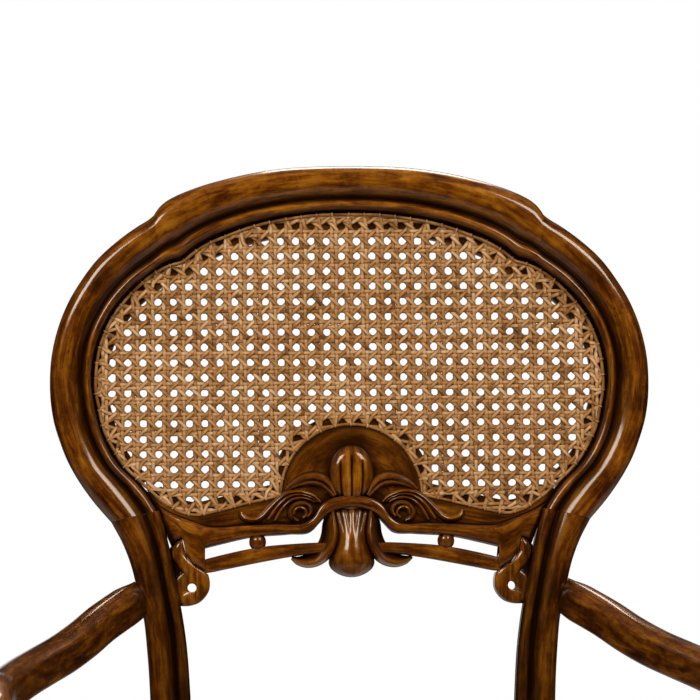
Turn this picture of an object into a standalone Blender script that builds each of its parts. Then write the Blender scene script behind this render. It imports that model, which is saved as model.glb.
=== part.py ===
"""A cane back armchair in carved hardwood, built piece by piece.

Metres, +Z up. The chair faces -Y, and left and right are as seen from the front.
A place in the back is (x, v, n): across, up the leaning plane from the line
through the arms, and forward out of that plane. A place in the seat is
(x, forward, z), with forward measured towards -Y from the foot of that plane.
"""
import math

import bmesh
import bpy
import numpy as np
from mathutils import Vector

# Back frame
BACK_HALF_WIDTH = 0.2482
BACK_HEIGHT = 0.400
BACK_LEAN = math.radians(10)
DATUM_HEIGHT = 0.642
FRAME_HALF_DEPTH = 0.014
LEDGE_WIDTH = 0.015
LEDGE_LEVEL = -0.002
MITRE_SHARE = 0.355

# Clearances and joints
GAP = 0.0003
TENON_THICKNESS = 0.010
TENON_ROOT = 0.008
CREST_TENON = (0.020, 0.018)
WAIST_TENON = (0.013, 0.018)
RAIL_TENON = (0.016, 0.009)
OVERRUN = 0.004

# Lower back rail
ARCH_RADIUS = 0.0585
ARCH_FOOT_SHARE = 0.32175
ARCH_FOOT_HEIGHT = BACK_HEIGHT * ARCH_FOOT_SHARE
FIELD_LEVEL = 0.002
BAND_LEVEL = 0.008
SLAB_INSET = 0.0008
EMBED = 0.004

# Cane
CANE_THICKNESS = 0.0018
CANE_GAP_PITCH = 0.0172
CANE_GAP_SIZE = 0.0108
CANE_GAP_MARGIN = 0.0065
BINDER_WIDTH = 0.003
BINDER_THICKNESS = 0.0012

# Lower bars, beads and ears
BAR_HEIGHT = 0.0108
BAR_HALF_DEPTH = 0.0055
BEAD_RADIUS = 0.007
BEAD_ACROSS = 0.0778
BEAD_FORWARD = 0.001
EAR_BACK = -0.011
EAR_FRONT = 0.0065
EYE_RADIUS = 0.0036
TAB_SHARE = 0.4883
TAB_INNER = BACK_HALF_WIDTH * TAB_SHARE

# Carvings
PENDANT_NECK = 0.022
PENDANT_BACK = -0.008
PENDANT_FRONT = 0.004
BULB_HALF_WIDTH = 0.020
BULB_DEPTH = 0.015
LEAF_REACH = 0.0518
PENDANT_DROP_SHARE = 0.1525
PENDANT_DROP = BACK_HEIGHT * PENDANT_DROP_SHARE
PALMETTE_HALF_WIDTH = 0.0175
PALMETTE_HALF_HEIGHT = 0.0200
PALMETTE_RISE = 0.010
FLUTE_DEPTH = 0.0016
LEAF_SCROLL_RISE = 0.006
LEAF_SCROLL_REACH_SHARE = 0.3848
LEAF_SCROLL_TOP_SHARE = 0.37275

# Seat frame
SEAT_RAIL_TOP = 0.425
SEAT_RAIL_HEIGHT = 0.062
SEAT_RAIL_THICKNESS = 0.026
REBATE_DEPTH = 0.006
REBATE_HEIGHT = 0.015
SEAT_DEPTH = 0.478
FRONT_LEG_ACROSS = 0.250
BLOCK_HALF = 0.0225
FRONT_BOW = 0.012
APRON_WAVE = 0.006
REAR_RAIL_THICKNESS = 0.024
REAR_RAIL_FORWARD = 0.044
SEAT_TENON_LENGTH = 0.014
SEAT_TENON_THICKNESS = 0.009
SEAT_TENON_HEIGHT = 0.034

# Legs
REAR_LEG_HALF_DEPTH = 0.018
FOOT_HALF_DEPTH = 0.0135
FOOT_WIDTH = 0.025
REAR_RAKE = 0.034
REAR_FOOT_SLOPE = 0.28
KNEE_REACH = 0.016
GLIDE_RADIUS = 0.009
GLIDE_HEIGHT = 0.004

# Arms
ARM_ROOT_HEIGHT = 0.0445
ARM_HALF_WIDTH = 0.0145
ARM_HALF_HEIGHT = 0.0150
ARM_SPREAD = 0.281
ARM_REACH = 0.322
ARM_LEVEL = 0.658
ARM_TENON_LENGTH = 0.013
ARM_TENON_HALF = 0.0055
PEG_RADIUS = 0.003
SCROLL_DROP = 0.044
SUPPORT_SETBACK = 0.037
SUPPORT_FORWARD = ARM_REACH - SUPPORT_SETBACK
SUPPORT_HALF = 0.0125
SUPPORT_FOOT = 0.366
SUPPORT_PIN_RADIUS = 0.006
SUPPORT_PIN_LENGTH = 0.012

# Screws and blocks
SCREW_RADIUS = 0.0022
SCREW_HEAD_RADIUS = 0.0044
SCREW_HEAD_LENGTH = 0.003
SCREW_LENGTH = 0.032
BLOCK_HEIGHT = 0.030
FRONT_BLOCK_LEG = 0.058
REAR_BLOCK_LEG = 0.062

# Upholstery
COVER_THICKNESS = 0.0014
CUSHION_CROWN = 0.055
NOTCH_GAP = 0.003
WEBBING_WIDTH = 0.050
WEBBING_THICKNESS = 0.0014
WEBBING_WAVE = 0.001
WEBBING_MARGIN = 0.015
WEBBING_CROSS_SHARES = (0.314, 0.554, 0.795)
HESSIAN_THICKNESS = 0.0008
DUST_COVER_THICKNESS = 0.0008
GIMP_HEIGHT = 0.0085
GIMP_THICKNESS = 0.0015

# Fineness of the curves
CREST_STEPS = 25
SIDE_STEPS = 17
STILE_STEPS = 11
LEG_STEPS = 7
CURVE_STEPS = 10
ROD_SIDES = 8
BEAD_SIDES = 12
BEAD_RINGS = 8
FLUTE_STEPS = 13
ARM_STEPS = 18
SHARP_ANGLE = math.radians(40)

# Turned pieces: share of the length with a share of the radius
PEG_SHARES = ((0, 0.8), (0.05, 1), (1, 1))
GLIDE_SHARES = ((0, 0.7), (0.3, 0.93), (0.6, 1), (1, 1))

# Places of the tenons on their joints
CREST_JOINT_SHARE = 0.45
WAIST_JOINT_SHARE = 0.42
TENON_LEVEL_SHARE = 0.6
SCREW_WALK_SHARE = 0.45
PEG_PLACE_SHARE = 0.55
TENON_HEIGHT_SHARE = 1.6
ARM_ROOT_SHARE = 0.8

# Outlines of the back, as shares of its half width and height
CREST_OUTER_SHARES = ((0, 1), (0.211, 0.996), (0.411, 0.975), (0.537, 0.954), (0.610, 0.934),
                      (0.654, 0.903))
CREST_INNER_SHARES = ((0, 0.910), (0.201, 0.901), (0.412, 0.867), (0.525, 0.829), (0.627, 0.798))
SIDE_OUTER_SHARES = ((0.654, 0.903), (0.704, 0.882), (0.774, 0.851), (0.846, 0.809), (0.936, 0.726),
                     (0.985, 0.643), (1, 0.560), (0.987, 0.477), (0.941, 0.394), (0.855, 0.311),
                     (0.797, 0.269))
SIDE_INNER_SHARES = ((0.627, 0.798), (0.735, 0.744), (0.807, 0.685), (0.842, 0.631), (0.856, 0.555),
                     (0.846, 0.508), (0.826, 0.456), (0.766, 0.386), (0.697, 0.344), (0.666, 0.320),
                     (0.639, 0.2925))
STILE_OUTER_SHARES = ((0.797, 0.269), (0.762, 0.228), (0.736, 0.187), (0.711, 0.125), (0.693, 0.075),
                      (0.680, 0), (0.671, -0.100), (0.668, -0.250))
STILE_INNER_SHARES = ((0.639, 0.2925), (0.618, 0.2425), (0.606, 0.211), (0.593, 0.170), (0.583, 0.132),
                      (0.570, 0.092), (0.554, 0.025), (0.542, -0.075), (0.536, -0.250))
BAND_TOP_SHARES = ((0, 0.320), (0.064, 0.3145), (0.100, 0.302), (0.129, 0.275), (0.147, 0.267),
                   (0.257, 0.262), (0.360, 0.2595), (0.437, 0.257), (0.468, 0.257), (0.522, 0.267),
                   (0.624, 0.291))
BAND_FOOT_SHARES = ((0, 0.2955), (0.041, 0.292), (0.079, 0.281), (0.108, 0.264), (0.136, 0.246),
                    (0.207, 0.2415), (0.334, 0.2355), (0.425, 0.223), (0.501, 0.212))
EAR_EDGE_SHARES = ((0.600, 0.2190), (0.583, 0.2290), (0.561, 0.2325), (0.5585, 0.2260), (0.5540, 0.1990),
                   (0.5290, 0.1800), (0.5010, 0.1690), (0.4880, 0.1640))
EAR_LOBE_SHARES = ((0.4770, 0.1600), (0.4726, 0.1448), (0.4754, 0.1278), (0.4887, 0.1130),
                   (0.5101, 0.1013), (0.5375, 0.0958), (0.5660, 0.0958))
EYE_PLACE_SHARES = (0.5318, 0.1330)

# Binder under the side frames: share of the way from arch foot to mitre, share of the back's height
BINDER_FOOT_SHARES = ((0, 0.3218), (0.13, 0.3128), (0.28, 0.3033), (0.49, 0.2895), (0.62, 0.2815),
                      (0.72, 0.2873), (0.825, 0.3080))

# Profile of the crest and sides: share of the way from outer to inner edge, share of the half depth
RIM_PROFILE_SHARES = ((0, -1), (0, 0.2), (0.06, 0.62), (0.20, 0.93), (0.38, 1), (0.55, 0.86), (0.66, 0.5),
                      (0.72, 0.36), (0.78, 0.56), (0.85, 0.68), (0.92, 0.5), (0.97, 0.05))
STILE_PROFILE_SHARES = ((0.06, -1), (0, -0.8), (0, 0.2), (0.06, 0.62), (0.20, 0.93), (0.38, 1),
                        (0.55, 0.86), (0.64, 0.5), (0.70, 0.36), (0.76, 0.56), (0.92, 0.68), (1, 0.4),
                        (1, -1))
LEG_PROFILE_SHARES = ((0.08, -1), (0, -0.8), (0, 0.2), (0, 0.75), (0.08, 1), (0.25, 1), (0.42, 1),
                      (0.58, 1), (0.75, 1), (0.92, 1), (1, 0.8), (1, -0.8), (0.92, -1))

# Front leg rings: share of its height, share of the knee's reach, share of the block's half, roundness
FRONT_LEG_SHARES = ((0.010, 0.80, 0.58, 1), (0.024, 1.02, 0.76, 1), (0.052, 1.02, 0.78, 1),
                    (0.090, 0.55, 0.62, 1), (0.141, 0.20, 0.54, 1), (0.235, -0.06, 0.56, 1),
                    (0.376, -0.06, 0.67, 1), (0.518, 0.20, 0.84, 1), (0.660, 0.60, 1.06, 0.9),
                    (0.755, 0.80, 1.18, 0.8), (0.815, 0.55, 1.14, 0.5))

BLOCK_ROUND_SHARE = 0.25

# Arm: share of the way from stile to spread, share of the reach, share of the drop to its level
ARM_PATH_SHARES = ((0.14, 0.045, 0.84), (0.30, 0.130, 0.57), (0.44, 0.235, 0.31), (0.585, 0.350, 0.12),
                   (0.73, 0.475, 0.03), (0.87, 0.630, 0), (0.965, 0.790, 0), (1, 0.930, 0))
ARM_SCROLL_SHARES = ((1.000, 0.16), (1.030, 0.46), (1.024, 0.80), (0.986, 1.00), (0.956, 0.92))
ARM_HEIGHT_SHARES = ((0, 1), (0.80, 1), (0.90, 0.86), (1, 0.60))
ARM_CROWDING_SHARE = 1.35
ARM_SECTION_SHARES = ((0.8, -1), (1, -0.75), (1, 0.1), (0.86, 0.55), (0.5, 0.9), (0, 1), (-0.5, 0.9),
                      (-0.86, 0.55), (-1, 0.1), (-1, -0.75), (-0.8, -1))
ARM_NECK_SHARE = 0.92
SUPPORT_PATH_SHARES = ((0, 0, 0), (0, 0, 0.22), (0.12, 0.010, 0.40), (0.50, 0.035, 0.64),
                       (0.88, 0, 0.84), (1, -0.055, 0.94), (1, -0.065, 1))
SUPPORT_SIZE_SHARES = (1, 1, 0.88, 0.82, 0.80, 0.86, 0.90)
SUPPORT_ROUND_SHARE = 0.35

# Section of the lower bar, as shares of its height and half depth
BAR_SECTION_SHARES = ((0, -1), (0, 0.6), (0.2, 1), (0.8, 1), (1, 0.6), (1, -1))

# Carving outlines, as shares of their own sizes
PALMETTE_END_SHARE = 0.96
PENDANT_FOOT_SHARE = 0.2
LEAF_FOOT_SHARE = 0.3
DRAWN_IN_SHARE = 0.3
BULB_SHARES = ((0.00, 0.35, 0.20), (0.06, 0.72, 0.50), (0.16, 0.95, 0.85), (0.28, 1.00, 1.00),
               (0.42, 0.86, 0.90), (0.55, 0.80, 0.72), (0.78, 0.96, 0.62), (0.93, 0.86, 0.50))
LEAF_SHARES = ((0.94, 0.16), (0.86, 0.06), (0.63, 0.02), (0.44, 0.10), (0.36, 0.28))
LEAF_SCROLL_SHARES = ((0.168, 0.868), (0.265, 0.828), (0.320, 0.768), (0.385, 0.722), (0.461, 0.706),
                      (0.540, 0.735), (0.590, 0.765), (0.660, 0.742), (0.754, 0.718), (0.880, 0.712),
                      (0.963, 0.722), (1.000, 0.764), (0.948, 0.770), (0.880, 0.748), (0.796, 0.765),
                      (0.702, 0.822), (0.625, 0.862), (0.570, 0.905), (0.560, 0.938), (0.508, 0.976),
                      (0.417, 1.000), (0.325, 0.998), (0.252, 0.978), (0.212, 0.945), (0.196, 0.900))

# Cushion: share of the outline's growth inwards, share of the crown's height
CUSHION_SHARES = ((0, 0), (0, 0.14), (-0.010, 0.34), (0, 0.56), (0.040, 0.78), (0.150, 0.92),
                  (0.450, 0.985), (0.800, 1))

WALNUT = ((0.095, 0.040, 0.012), 0.28, 0.0)
CANE = ((0.43, 0.20, 0.06), 0.55, 0.0)
BEECH = ((0.45, 0.29, 0.15), 0.6, 0.0)
LINEN = ((0.50, 0.42, 0.30), 0.9, 0.0)
JUTE = ((0.33, 0.24, 0.13), 0.95, 0.0)
FABRIC = ((0.42, 0.33, 0.22), 0.85, 0.0)
STEEL = ((0.42, 0.42, 0.43), 0.35, 1.0)
BLACK_CLOTH = ((0.02, 0.02, 0.02), 0.95, 0.0)

SIDES = (("left", -1), ("right", 1))


# Curves in the plane

def spread_evenly(points, count):
    """The given number of points, evenly spaced along a chain of points."""
    along = np.concatenate(([0], np.cumsum(np.linalg.norm(np.diff(points, axis=0), axis=1))))
    wanted = np.linspace(0, along[-1], count)
    return np.column_stack([np.interp(wanted, along, column) for column in points.T])


def smooth_curve(points, count):
    """Evenly spaced points on a cubic curve that passes through the given points."""
    points = np.array(points, float)
    chords = np.linalg.norm(np.diff(points, axis=0), axis=1)
    knots = np.concatenate(([0], np.cumsum(chords)))
    slopes = np.gradient(points, knots, axis=0)
    t = np.linspace(0, 1, CURVE_STEPS, endpoint=False)[:, None]
    pieces = []
    for start, end, leave, arrive, chord in zip(points, points[1:], slopes, slopes[1:], chords):
        curve = (2 * t**3 - 3 * t**2 + 1) * start + (3 * t**2 - 2 * t**3) * end
        curve += (t**3 - 2 * t**2 + t) * chord * leave + (t**3 - t**2) * chord * arrive
        pieces.append(curve)
    pieces.append(points[-1:])
    return spread_evenly(np.concatenate(pieces), count)


def left_normals(points):
    """Unit normals on the left hand of a chain of points in the plane."""
    slopes = np.gradient(points, axis=0)
    normals = np.column_stack((-slopes[:, 1], slopes[:, 0]))
    return normals / np.linalg.norm(normals, axis=1)[:, None]


def drawn_aside(points, distance):
    """A chain of points moved to its left by a distance, with its corners kept sharp."""
    points = np.array(points, float)
    steps = np.diff(points, axis=0)
    normals = np.column_stack((-steps[:, 1], steps[:, 0])) / np.linalg.norm(steps, axis=1)[:, None]
    before = np.concatenate((normals[:1], normals))
    after = np.concatenate((normals, normals[-1:]))
    middle = before + after
    return points + middle * distance * 2 / np.sum(middle * middle, axis=1)[:, None]


def mirrored(half):
    """A closed outline from its right half, which starts and ends on the centre line."""
    half = np.array(half, float)
    return np.concatenate((half, (half * (-1, 1))[-2:0:-1]))


def in_shares(shares):
    """Points of the back from shares of its half width and height."""
    return np.array(shares, float) * (BACK_HALF_WIDTH, BACK_HEIGHT)


# Places in space

def in_back(x, v, n):
    """A place given across, up and out of the leaning back."""
    y = v * math.sin(BACK_LEAN) - n * math.cos(BACK_LEAN)
    z = DATUM_HEIGHT + v * math.cos(BACK_LEAN) + n * math.sin(BACK_LEAN)
    return np.array((x, y, z))


def in_seat(x, forward, z):
    """A place given across, forward and up."""
    return np.array((x, -forward, z))


ACROSS = np.array((1.0, 0.0, 0.0))
UP = np.array((0.0, 0.0, 1.0))
FORWARD = np.array((0.0, -1.0, 0.0))
BACK_UP = np.array((0.0, math.sin(BACK_LEAN), math.cos(BACK_LEAN)))
BACK_OUT = np.array((0.0, -math.cos(BACK_LEAN), math.sin(BACK_LEAN)))


def unit(vector):
    """The vector at length one."""
    return vector / np.linalg.norm(vector)


# Objects and materials

def finish(piece, look):
    """Give a piece its own material."""
    colour, roughness, metallic = look
    material = bpy.data.materials.new(piece.name)
    material.use_nodes = True
    shader = material.node_tree.nodes["Principled BSDF"]
    shader.inputs["Base Color"].default_value = (*colour, 1)
    shader.inputs["Roughness"].default_value = roughness
    shader.inputs["Metallic"].default_value = metallic
    piece.data.materials.clear()
    piece.data.materials.append(material)


def add_mesh(name, shape, look=None, smooth=True):
    """An object from a bmesh, facing outwards."""
    bmesh.ops.recalc_face_normals(shape, faces=shape.faces)
    mesh = bpy.data.meshes.new(name)
    shape.to_mesh(mesh)
    shape.free()
    if smooth:
        mesh.shade_smooth()
        mesh.set_sharp_from_angle(angle=SHARP_ANGLE)
    piece = bpy.data.objects.new(name, mesh)
    bpy.context.scene.collection.objects.link(piece)
    if look:
        finish(piece, look)
    return piece


def loft(name, rings, look=None, ends=True):
    """A body through rings of points, capped at both ends or joined end to start."""
    shape = bmesh.new()
    loops = [[shape.verts.new(point) for point in ring] for ring in rings]
    count = len(loops[0])
    followers = loops[1:] if ends else loops[1:] + loops[:1]
    for low, high in zip(loops, followers):
        for i in range(count):
            j = (i + 1) % count
            shape.faces.new((low[i], low[j], high[j], high[i]))
    if ends:
        shape.faces.new(loops[0])
        shape.faces.new(loops[-1])
    return add_mesh(name, shape, look)


def slab(name, outline, back, front, look=None, place=in_back):
    """A flat board with the given outline between two levels."""
    low = [place(x, v, back) for x, v in outline]
    high = [place(x, v, front) for x, v in outline]
    return loft(name, (low, high), look)


def standing_slab(name, outline, low, high, look=None):
    """A flat board in the seat, from an outline given across and forward."""
    rings = [[in_seat(x, forward, z) for x, forward in outline] for z in (low, high)]
    return loft(name, rings, look)


def block(name, centre, axes, half_sizes, look=None):
    """A box with the given centre, three axes and half sizes."""
    x, y, z = (axis * half for axis, half in zip(axes, half_sizes))
    corners = ((-1, -1), (1, -1), (1, 1), (-1, 1))
    rings = [[centre + x * i + y * j + z * k for i, j in corners] for k in (-1, 1)]
    return loft(name, rings, look)


def rod(name, start, end, radii, look=None, sides=ROD_SIDES):
    """A turned body along a line: shares of the way with the radius at each."""
    axis = unit(end - start)
    across = unit(np.cross(axis, UP if abs(axis[2]) < 0.9 else ACROSS))
    other = np.cross(axis, across)
    rings = []
    for share, radius in radii:
        centre = start + (end - start) * share
        angles = [2 * math.pi * i / sides for i in range(sides)]
        rings.append([centre + (across * math.cos(a) + other * math.sin(a)) * radius for a in angles])
    return loft(name, rings, look)


def combine(piece, tool, operation):
    """Join a hidden body to a piece or cut it out of the piece."""
    tool.hide_render = True
    tool.display_type = "WIRE"
    tool.hide_set(True)
    step = piece.modifiers.new(tool.name, "BOOLEAN")
    step.operation = operation
    step.solver = "EXACT"
    step.object = tool


def tenon(owner, host, centre, axes, half_sizes):
    """A tenon on one piece and its mortise, a little larger, in the other."""
    label = f"{owner.name}.to.{host.name}"
    combine(owner, block(f"tenon.{label}", centre, axes, half_sizes), "UNION")
    grown = [half + GAP for half in half_sizes]
    combine(host, block(f"mortise.{label}", centre, axes, grown), "DIFFERENCE")


def bore(piece, start, end, radii, mouth=0):
    """A hole for a screw or a peg, larger by the clearance all round, with an open mouth before it."""
    length = np.linalg.norm(end - start)
    wide = [(share, (radius + GAP) / math.cos(math.pi / ROD_SIDES)) for share, radius in radii]
    wide = [(-(GAP + mouth) / length, wide[0][1])] + wide + [(1 + GAP / length, wide[-1][1])]
    tool = rod(f"bore.{piece.name}.{len(piece.modifiers)}", start, end, wide)
    combine(piece, tool, "DIFFERENCE")


# Lines of the back that several pieces share

def frame_lines():
    """Outer and inner lines of the crest, right side and right stile."""
    crest_outer = in_shares(CREST_OUTER_SHARES)
    crest_inner = in_shares(CREST_INNER_SHARES)
    whole_outer = np.concatenate(((crest_outer * (-1, 1))[:0:-1], crest_outer))
    whole_inner = np.concatenate(((crest_inner * (-1, 1))[:0:-1], crest_inner))
    return {
        "crest": (smooth_curve(whole_outer, CREST_STEPS), smooth_curve(whole_inner, CREST_STEPS)),
        "side": (smooth_curve(in_shares(SIDE_OUTER_SHARES), SIDE_STEPS),
                 smooth_curve(in_shares(SIDE_INNER_SHARES), SIDE_STEPS)),
        "stile": (smooth_curve(in_shares(STILE_OUTER_SHARES), STILE_STEPS),
                  smooth_curve(in_shares(STILE_INNER_SHARES), STILE_STEPS)),
    }


LINES = frame_lines()


def stile_inner_at(v):
    """Across place of the stile's inner edge at a height in the back."""
    line = np.concatenate((LINES["side"][1][SIDE_STEPS // 2:-1], LINES["stile"][1]))
    return float(np.interp(-v, -line[:, 1], line[:, 0]))


def stile_edge(start, end, inset):
    """Edge of a piece that lies against the side and stile, from one height to another."""
    line = np.concatenate((LINES["side"][1][SIDE_STEPS // 2:-1], LINES["stile"][1]))
    low, high = min(start, end), max(start, end)
    levels = [v for v in line[:, 1] if low + GAP < v < high - GAP]
    levels = [high] + levels + [low]
    edge = [(stile_inner_at(v) - 2 * GAP - inset, v) for v in levels]
    return edge if start > end else edge[::-1]


def stile_outer_at(v):
    """Across place of the stile's outer edge at a height in the back."""
    line = LINES["stile"][0]
    return float(np.interp(-v, -line[:, 1], line[:, 0]))


def ledge_tip(outside, inside):
    """Inner edge of the ledge, in line with the outer and the inner edge of the moulding."""
    return inside + unit(inside - outside) * LEDGE_WIDTH


def mitre_index():
    """Step of the side's inner line where its ledge gives way to the lower rail's."""
    inner = LINES["side"][1]
    return int(np.argmin(np.abs(inner[SIDE_STEPS // 2:, 1] - BACK_HEIGHT * MITRE_SHARE))) + SIDE_STEPS // 2


MITRE = mitre_index()


def binder_half():
    """Right half of the binder's centre line, from crest to arch top."""
    inset = BINDER_WIDTH / 2 + 2 * GAP
    crest = LINES["crest"][1][CREST_STEPS // 2:]
    side = LINES["side"][1][:MITRE + 1]
    upper = np.concatenate((crest[:-1], (crest[-1:] + side[:1]) / 2, side[1:]))
    upper = upper - left_normals(upper) * inset
    upper[0, 0] = 0
    last = upper[-1]
    reach = last[0] - ARCH_RADIUS
    foot = [(ARCH_RADIUS + share * reach, v * BACK_HEIGHT) for share, v in BINDER_FOOT_SHARES[::-1]]
    lower = smooth_curve(np.concatenate((upper[-3:], foot)), CURVE_STEPS)
    lower = lower[lower[:, 0] < last[0] - OVERRUN]
    start = math.asin((BINDER_FOOT_SHARES[0][1] * BACK_HEIGHT - ARCH_FOOT_HEIGHT) / ARCH_RADIUS)
    angles = np.linspace(start, math.pi / 2, CURVE_STEPS)[1:]
    arch = ARCH_RADIUS * np.column_stack((np.cos(angles), np.sin(angles))) + (0, ARCH_FOOT_HEIGHT)
    arch[-1, 0] = 0
    return upper, lower, arch


BINDER_UPPER, BINDER_FOOT, BINDER_ARCH = binder_half()


def grown_binder(distance):
    """Closed outline of the cane's edge, grown outwards by a distance."""
    half = np.concatenate((BINDER_UPPER, BINDER_FOOT, BINDER_ARCH))
    outline = mirrored(half)
    wrapped = np.concatenate((outline[-1:], outline, outline[:1]))
    return outline + left_normals(wrapped)[1:-1] * distance


# Pieces of the back

def ring_between(outer, inner, out, profile_shares, half_depth):
    """One ring of a moulded profile between two edges."""
    return [outer + (inner - outer) * share + out * height * half_depth for share, height in profile_shares]


def rim_rings(outer, inner, ledge):
    """Rings of the crest and side moulding, with or without the ledge on their inner edge."""
    rings = []
    for outside, inside in zip(outer, inner):
        ring = ring_between(in_back(*outside, 0), in_back(*inside, 0), BACK_OUT, RIM_PROFILE_SHARES,
                            FRAME_HALF_DEPTH)
        tip = ledge_tip(outside, inside) if ledge else inside + unit(inside - outside) * GAP
        ring.append(in_back(*inside, LEDGE_LEVEL))
        ring.append(in_back(*tip, LEDGE_LEVEL))
        ring.append(in_back(*tip, -FRAME_HALF_DEPTH))
        rings.append(ring)
    return rings


def turned(points, side):
    """Points in space, mirrored for the left hand side."""
    return [point * (side, 1, 1) for point in points]


def make_crest():
    """Top rail of the back, between the shoulder joints."""
    outer, inner = (shortened(line) for line in LINES["crest"])
    return loft("crest_rail", rim_rings(outer, inner, True), WALNUT)


def shortened(line):
    """A line with its ends drawn back by half the clearance."""
    line = line.copy()
    line[0] += unit(line[1] - line[0]) * GAP / 2
    line[-1] += unit(line[-2] - line[-1]) * GAP / 2
    return line


def make_side(tag, side):
    """Curved upright beside the cane, with its ledge down to the mitre."""
    outer, inner = (shortened(line) for line in LINES["side"])
    rings = rim_rings(outer[:MITRE + 1], inner[:MITRE + 1], True)
    below = [line[MITRE:].copy() for line in (outer, inner)]
    for line in below:
        line[0] += unit(line[1] - line[0]) * GAP
    rings += rim_rings(*below, False)
    return loft(f"side_member_{tag}", [turned(ring, side) for ring in rings], WALNUT)


def leg_stations():
    """Stile and rear leg from waist to floor: outer and inner edge, way out, depth and plainness."""
    outer, inner = (shortened(line) for line in LINES["stile"])
    stations = []
    for outside, inside in zip(outer, inner):
        share = (outer[0][1] - outside[1]) / (outer[0][1] - outer[-1][1])
        depth = FRAME_HALF_DEPTH + (REAR_LEG_HALF_DEPTH - FRAME_HALF_DEPTH) * share**2
        stations.append((in_back(*outside, 0), in_back(*inside, 0), BACK_OUT, depth, 0))
    outside = outer[-1][0]
    inside = inner[-1][0]
    rail_top = (SEAT_RAIL_TOP - DATUM_HEIGHT) / math.cos(BACK_LEAN)
    rail_foot = rail_top - (SEAT_RAIL_HEIGHT + OVERRUN) / math.cos(BACK_LEAN)
    for v in (rail_top + (outer[-1][1] - rail_top) / 2, rail_top + OVERRUN, rail_foot):
        plain = 1 if v < rail_top + 2 * OVERRUN else 0.5
        stations.append((in_back(outside, v, 0), in_back(inside, v, 0), BACK_OUT, REAR_LEG_HALF_DEPTH, plain))
    start = in_back(0, rail_foot, 0)
    floor = GLIDE_HEIGHT + GAP
    drop = start[2] - floor
    lean = math.tan(BACK_LEAN)
    for step in range(1, LEG_STEPS + 1):
        t = step / LEG_STEPS
        back = hermite(start[1], -lean * drop, REAR_RAKE, REAR_FOOT_SLOPE * drop, t)
        slope = hermite_slope(start[1], -lean * drop, REAR_RAKE, REAR_FOOT_SLOPE * drop, t) / drop
        angle = 0 if step == LEG_STEPS else -math.atan(slope)
        out = np.array((0, -math.cos(angle), math.sin(angle)))
        level = start[2] - drop * t
        width = (outside - inside) + (FOOT_WIDTH - (outside - inside)) * t
        depth = REAR_LEG_HALF_DEPTH + (FOOT_HALF_DEPTH - REAR_LEG_HALF_DEPTH) * t
        foot_inside = inside + (outside - inside - width) / 2
        stations.append((np.array((foot_inside + width, back, level)), np.array((foot_inside, back, level)),
                         out, depth, 1))
    return stations


def hermite(start, leave, end, arrive, t):
    """Cubic from start to end with the given slopes at its ends."""
    curve = (2 * t**3 - 3 * t**2 + 1) * start + (3 * t**2 - 2 * t**3) * end
    return curve + (t**3 - 2 * t**2 + t) * leave + (t**3 - t**2) * arrive


def hermite_slope(start, leave, end, arrive, t):
    """Slope of that cubic."""
    curve = (6 * t**2 - 6 * t) * (start - end)
    return curve + (3 * t**2 - 4 * t + 1) * leave + (3 * t**2 - 2 * t) * arrive


def make_rear_leg(tag, side):
    """Stile and rear leg in one piece."""
    rings = []
    for outer, inner, out, depth, plain in leg_stations():
        moulded = np.array(ring_between(outer, inner, out, STILE_PROFILE_SHARES, depth))
        square = np.array(ring_between(outer, inner, out, LEG_PROFILE_SHARES, depth))
        rings.append(turned(moulded + (square - moulded) * plain, side))
    return loft(f"rear_leg_{tag}", rings, WALNUT)


def ear_edge():
    """Edge of the ear that the lower rail follows, from the stile down to the bar."""
    return in_shares(EAR_EDGE_SHARES)


def rail_right_half(inset, foot_inset):
    """The rail's edge from the stile down round the ear, and back along its foot to the centre."""
    edge = ear_edge()
    clear = drawn_aside(edge, -GAP - inset)
    stile = stile_edge(mitre_root()[1], clear[0][1], inset)
    foot = in_shares(BAND_FOOT_SHARES)[::-1] + (0, foot_inset)
    tab = [(TAB_INNER + inset, clear[-1][1]), (TAB_INNER + inset, foot[0][1] - BAR_HEIGHT / 2)]
    clear = clear[clear[:, 0] > TAB_INNER + inset + GAP]
    return stile, clear, tab, foot


def ledge_outline():
    """Top edge of the lower rail, right half, from the arch top to the mitre."""
    reach = LEDGE_WIDTH - BINDER_WIDTH / 2 - GAP
    radius = ARCH_RADIUS + reach
    outer, inner = LINES["side"]
    root = inner[MITRE]
    tip = ledge_tip(outer[MITRE], root)
    lower = BINDER_FOOT - left_normals(BINDER_FOOT) * reach
    from_arch = np.linalg.norm(lower - (0, ARCH_FOOT_HEIGHT), axis=1)
    lower = lower[(from_arch > radius + GAP) & (lower[:, 0] < tip[0] - OVERRUN / 2)][::-1]
    end = math.asin((lower[0][1] - ARCH_FOOT_HEIGHT) / radius)
    angles = np.linspace(math.pi / 2, end, CURVE_STEPS)
    arch = np.column_stack((radius * np.cos(angles), ARCH_FOOT_HEIGHT + radius * np.sin(angles)))
    arch[0, 0] = 0
    joint = unit(root - tip)
    clear = np.array((joint[1], -joint[0])) * 2 * GAP
    return np.concatenate((arch, lower[1:], [tip + clear]))


def mitre_root():
    """Place on the side's inner line where the lower rail's end begins, just below the mitre."""
    inner = LINES["side"][1]
    return inner[MITRE] + unit(inner[MITRE + 1] - inner[MITRE]) * OVERRUN / 2


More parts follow.
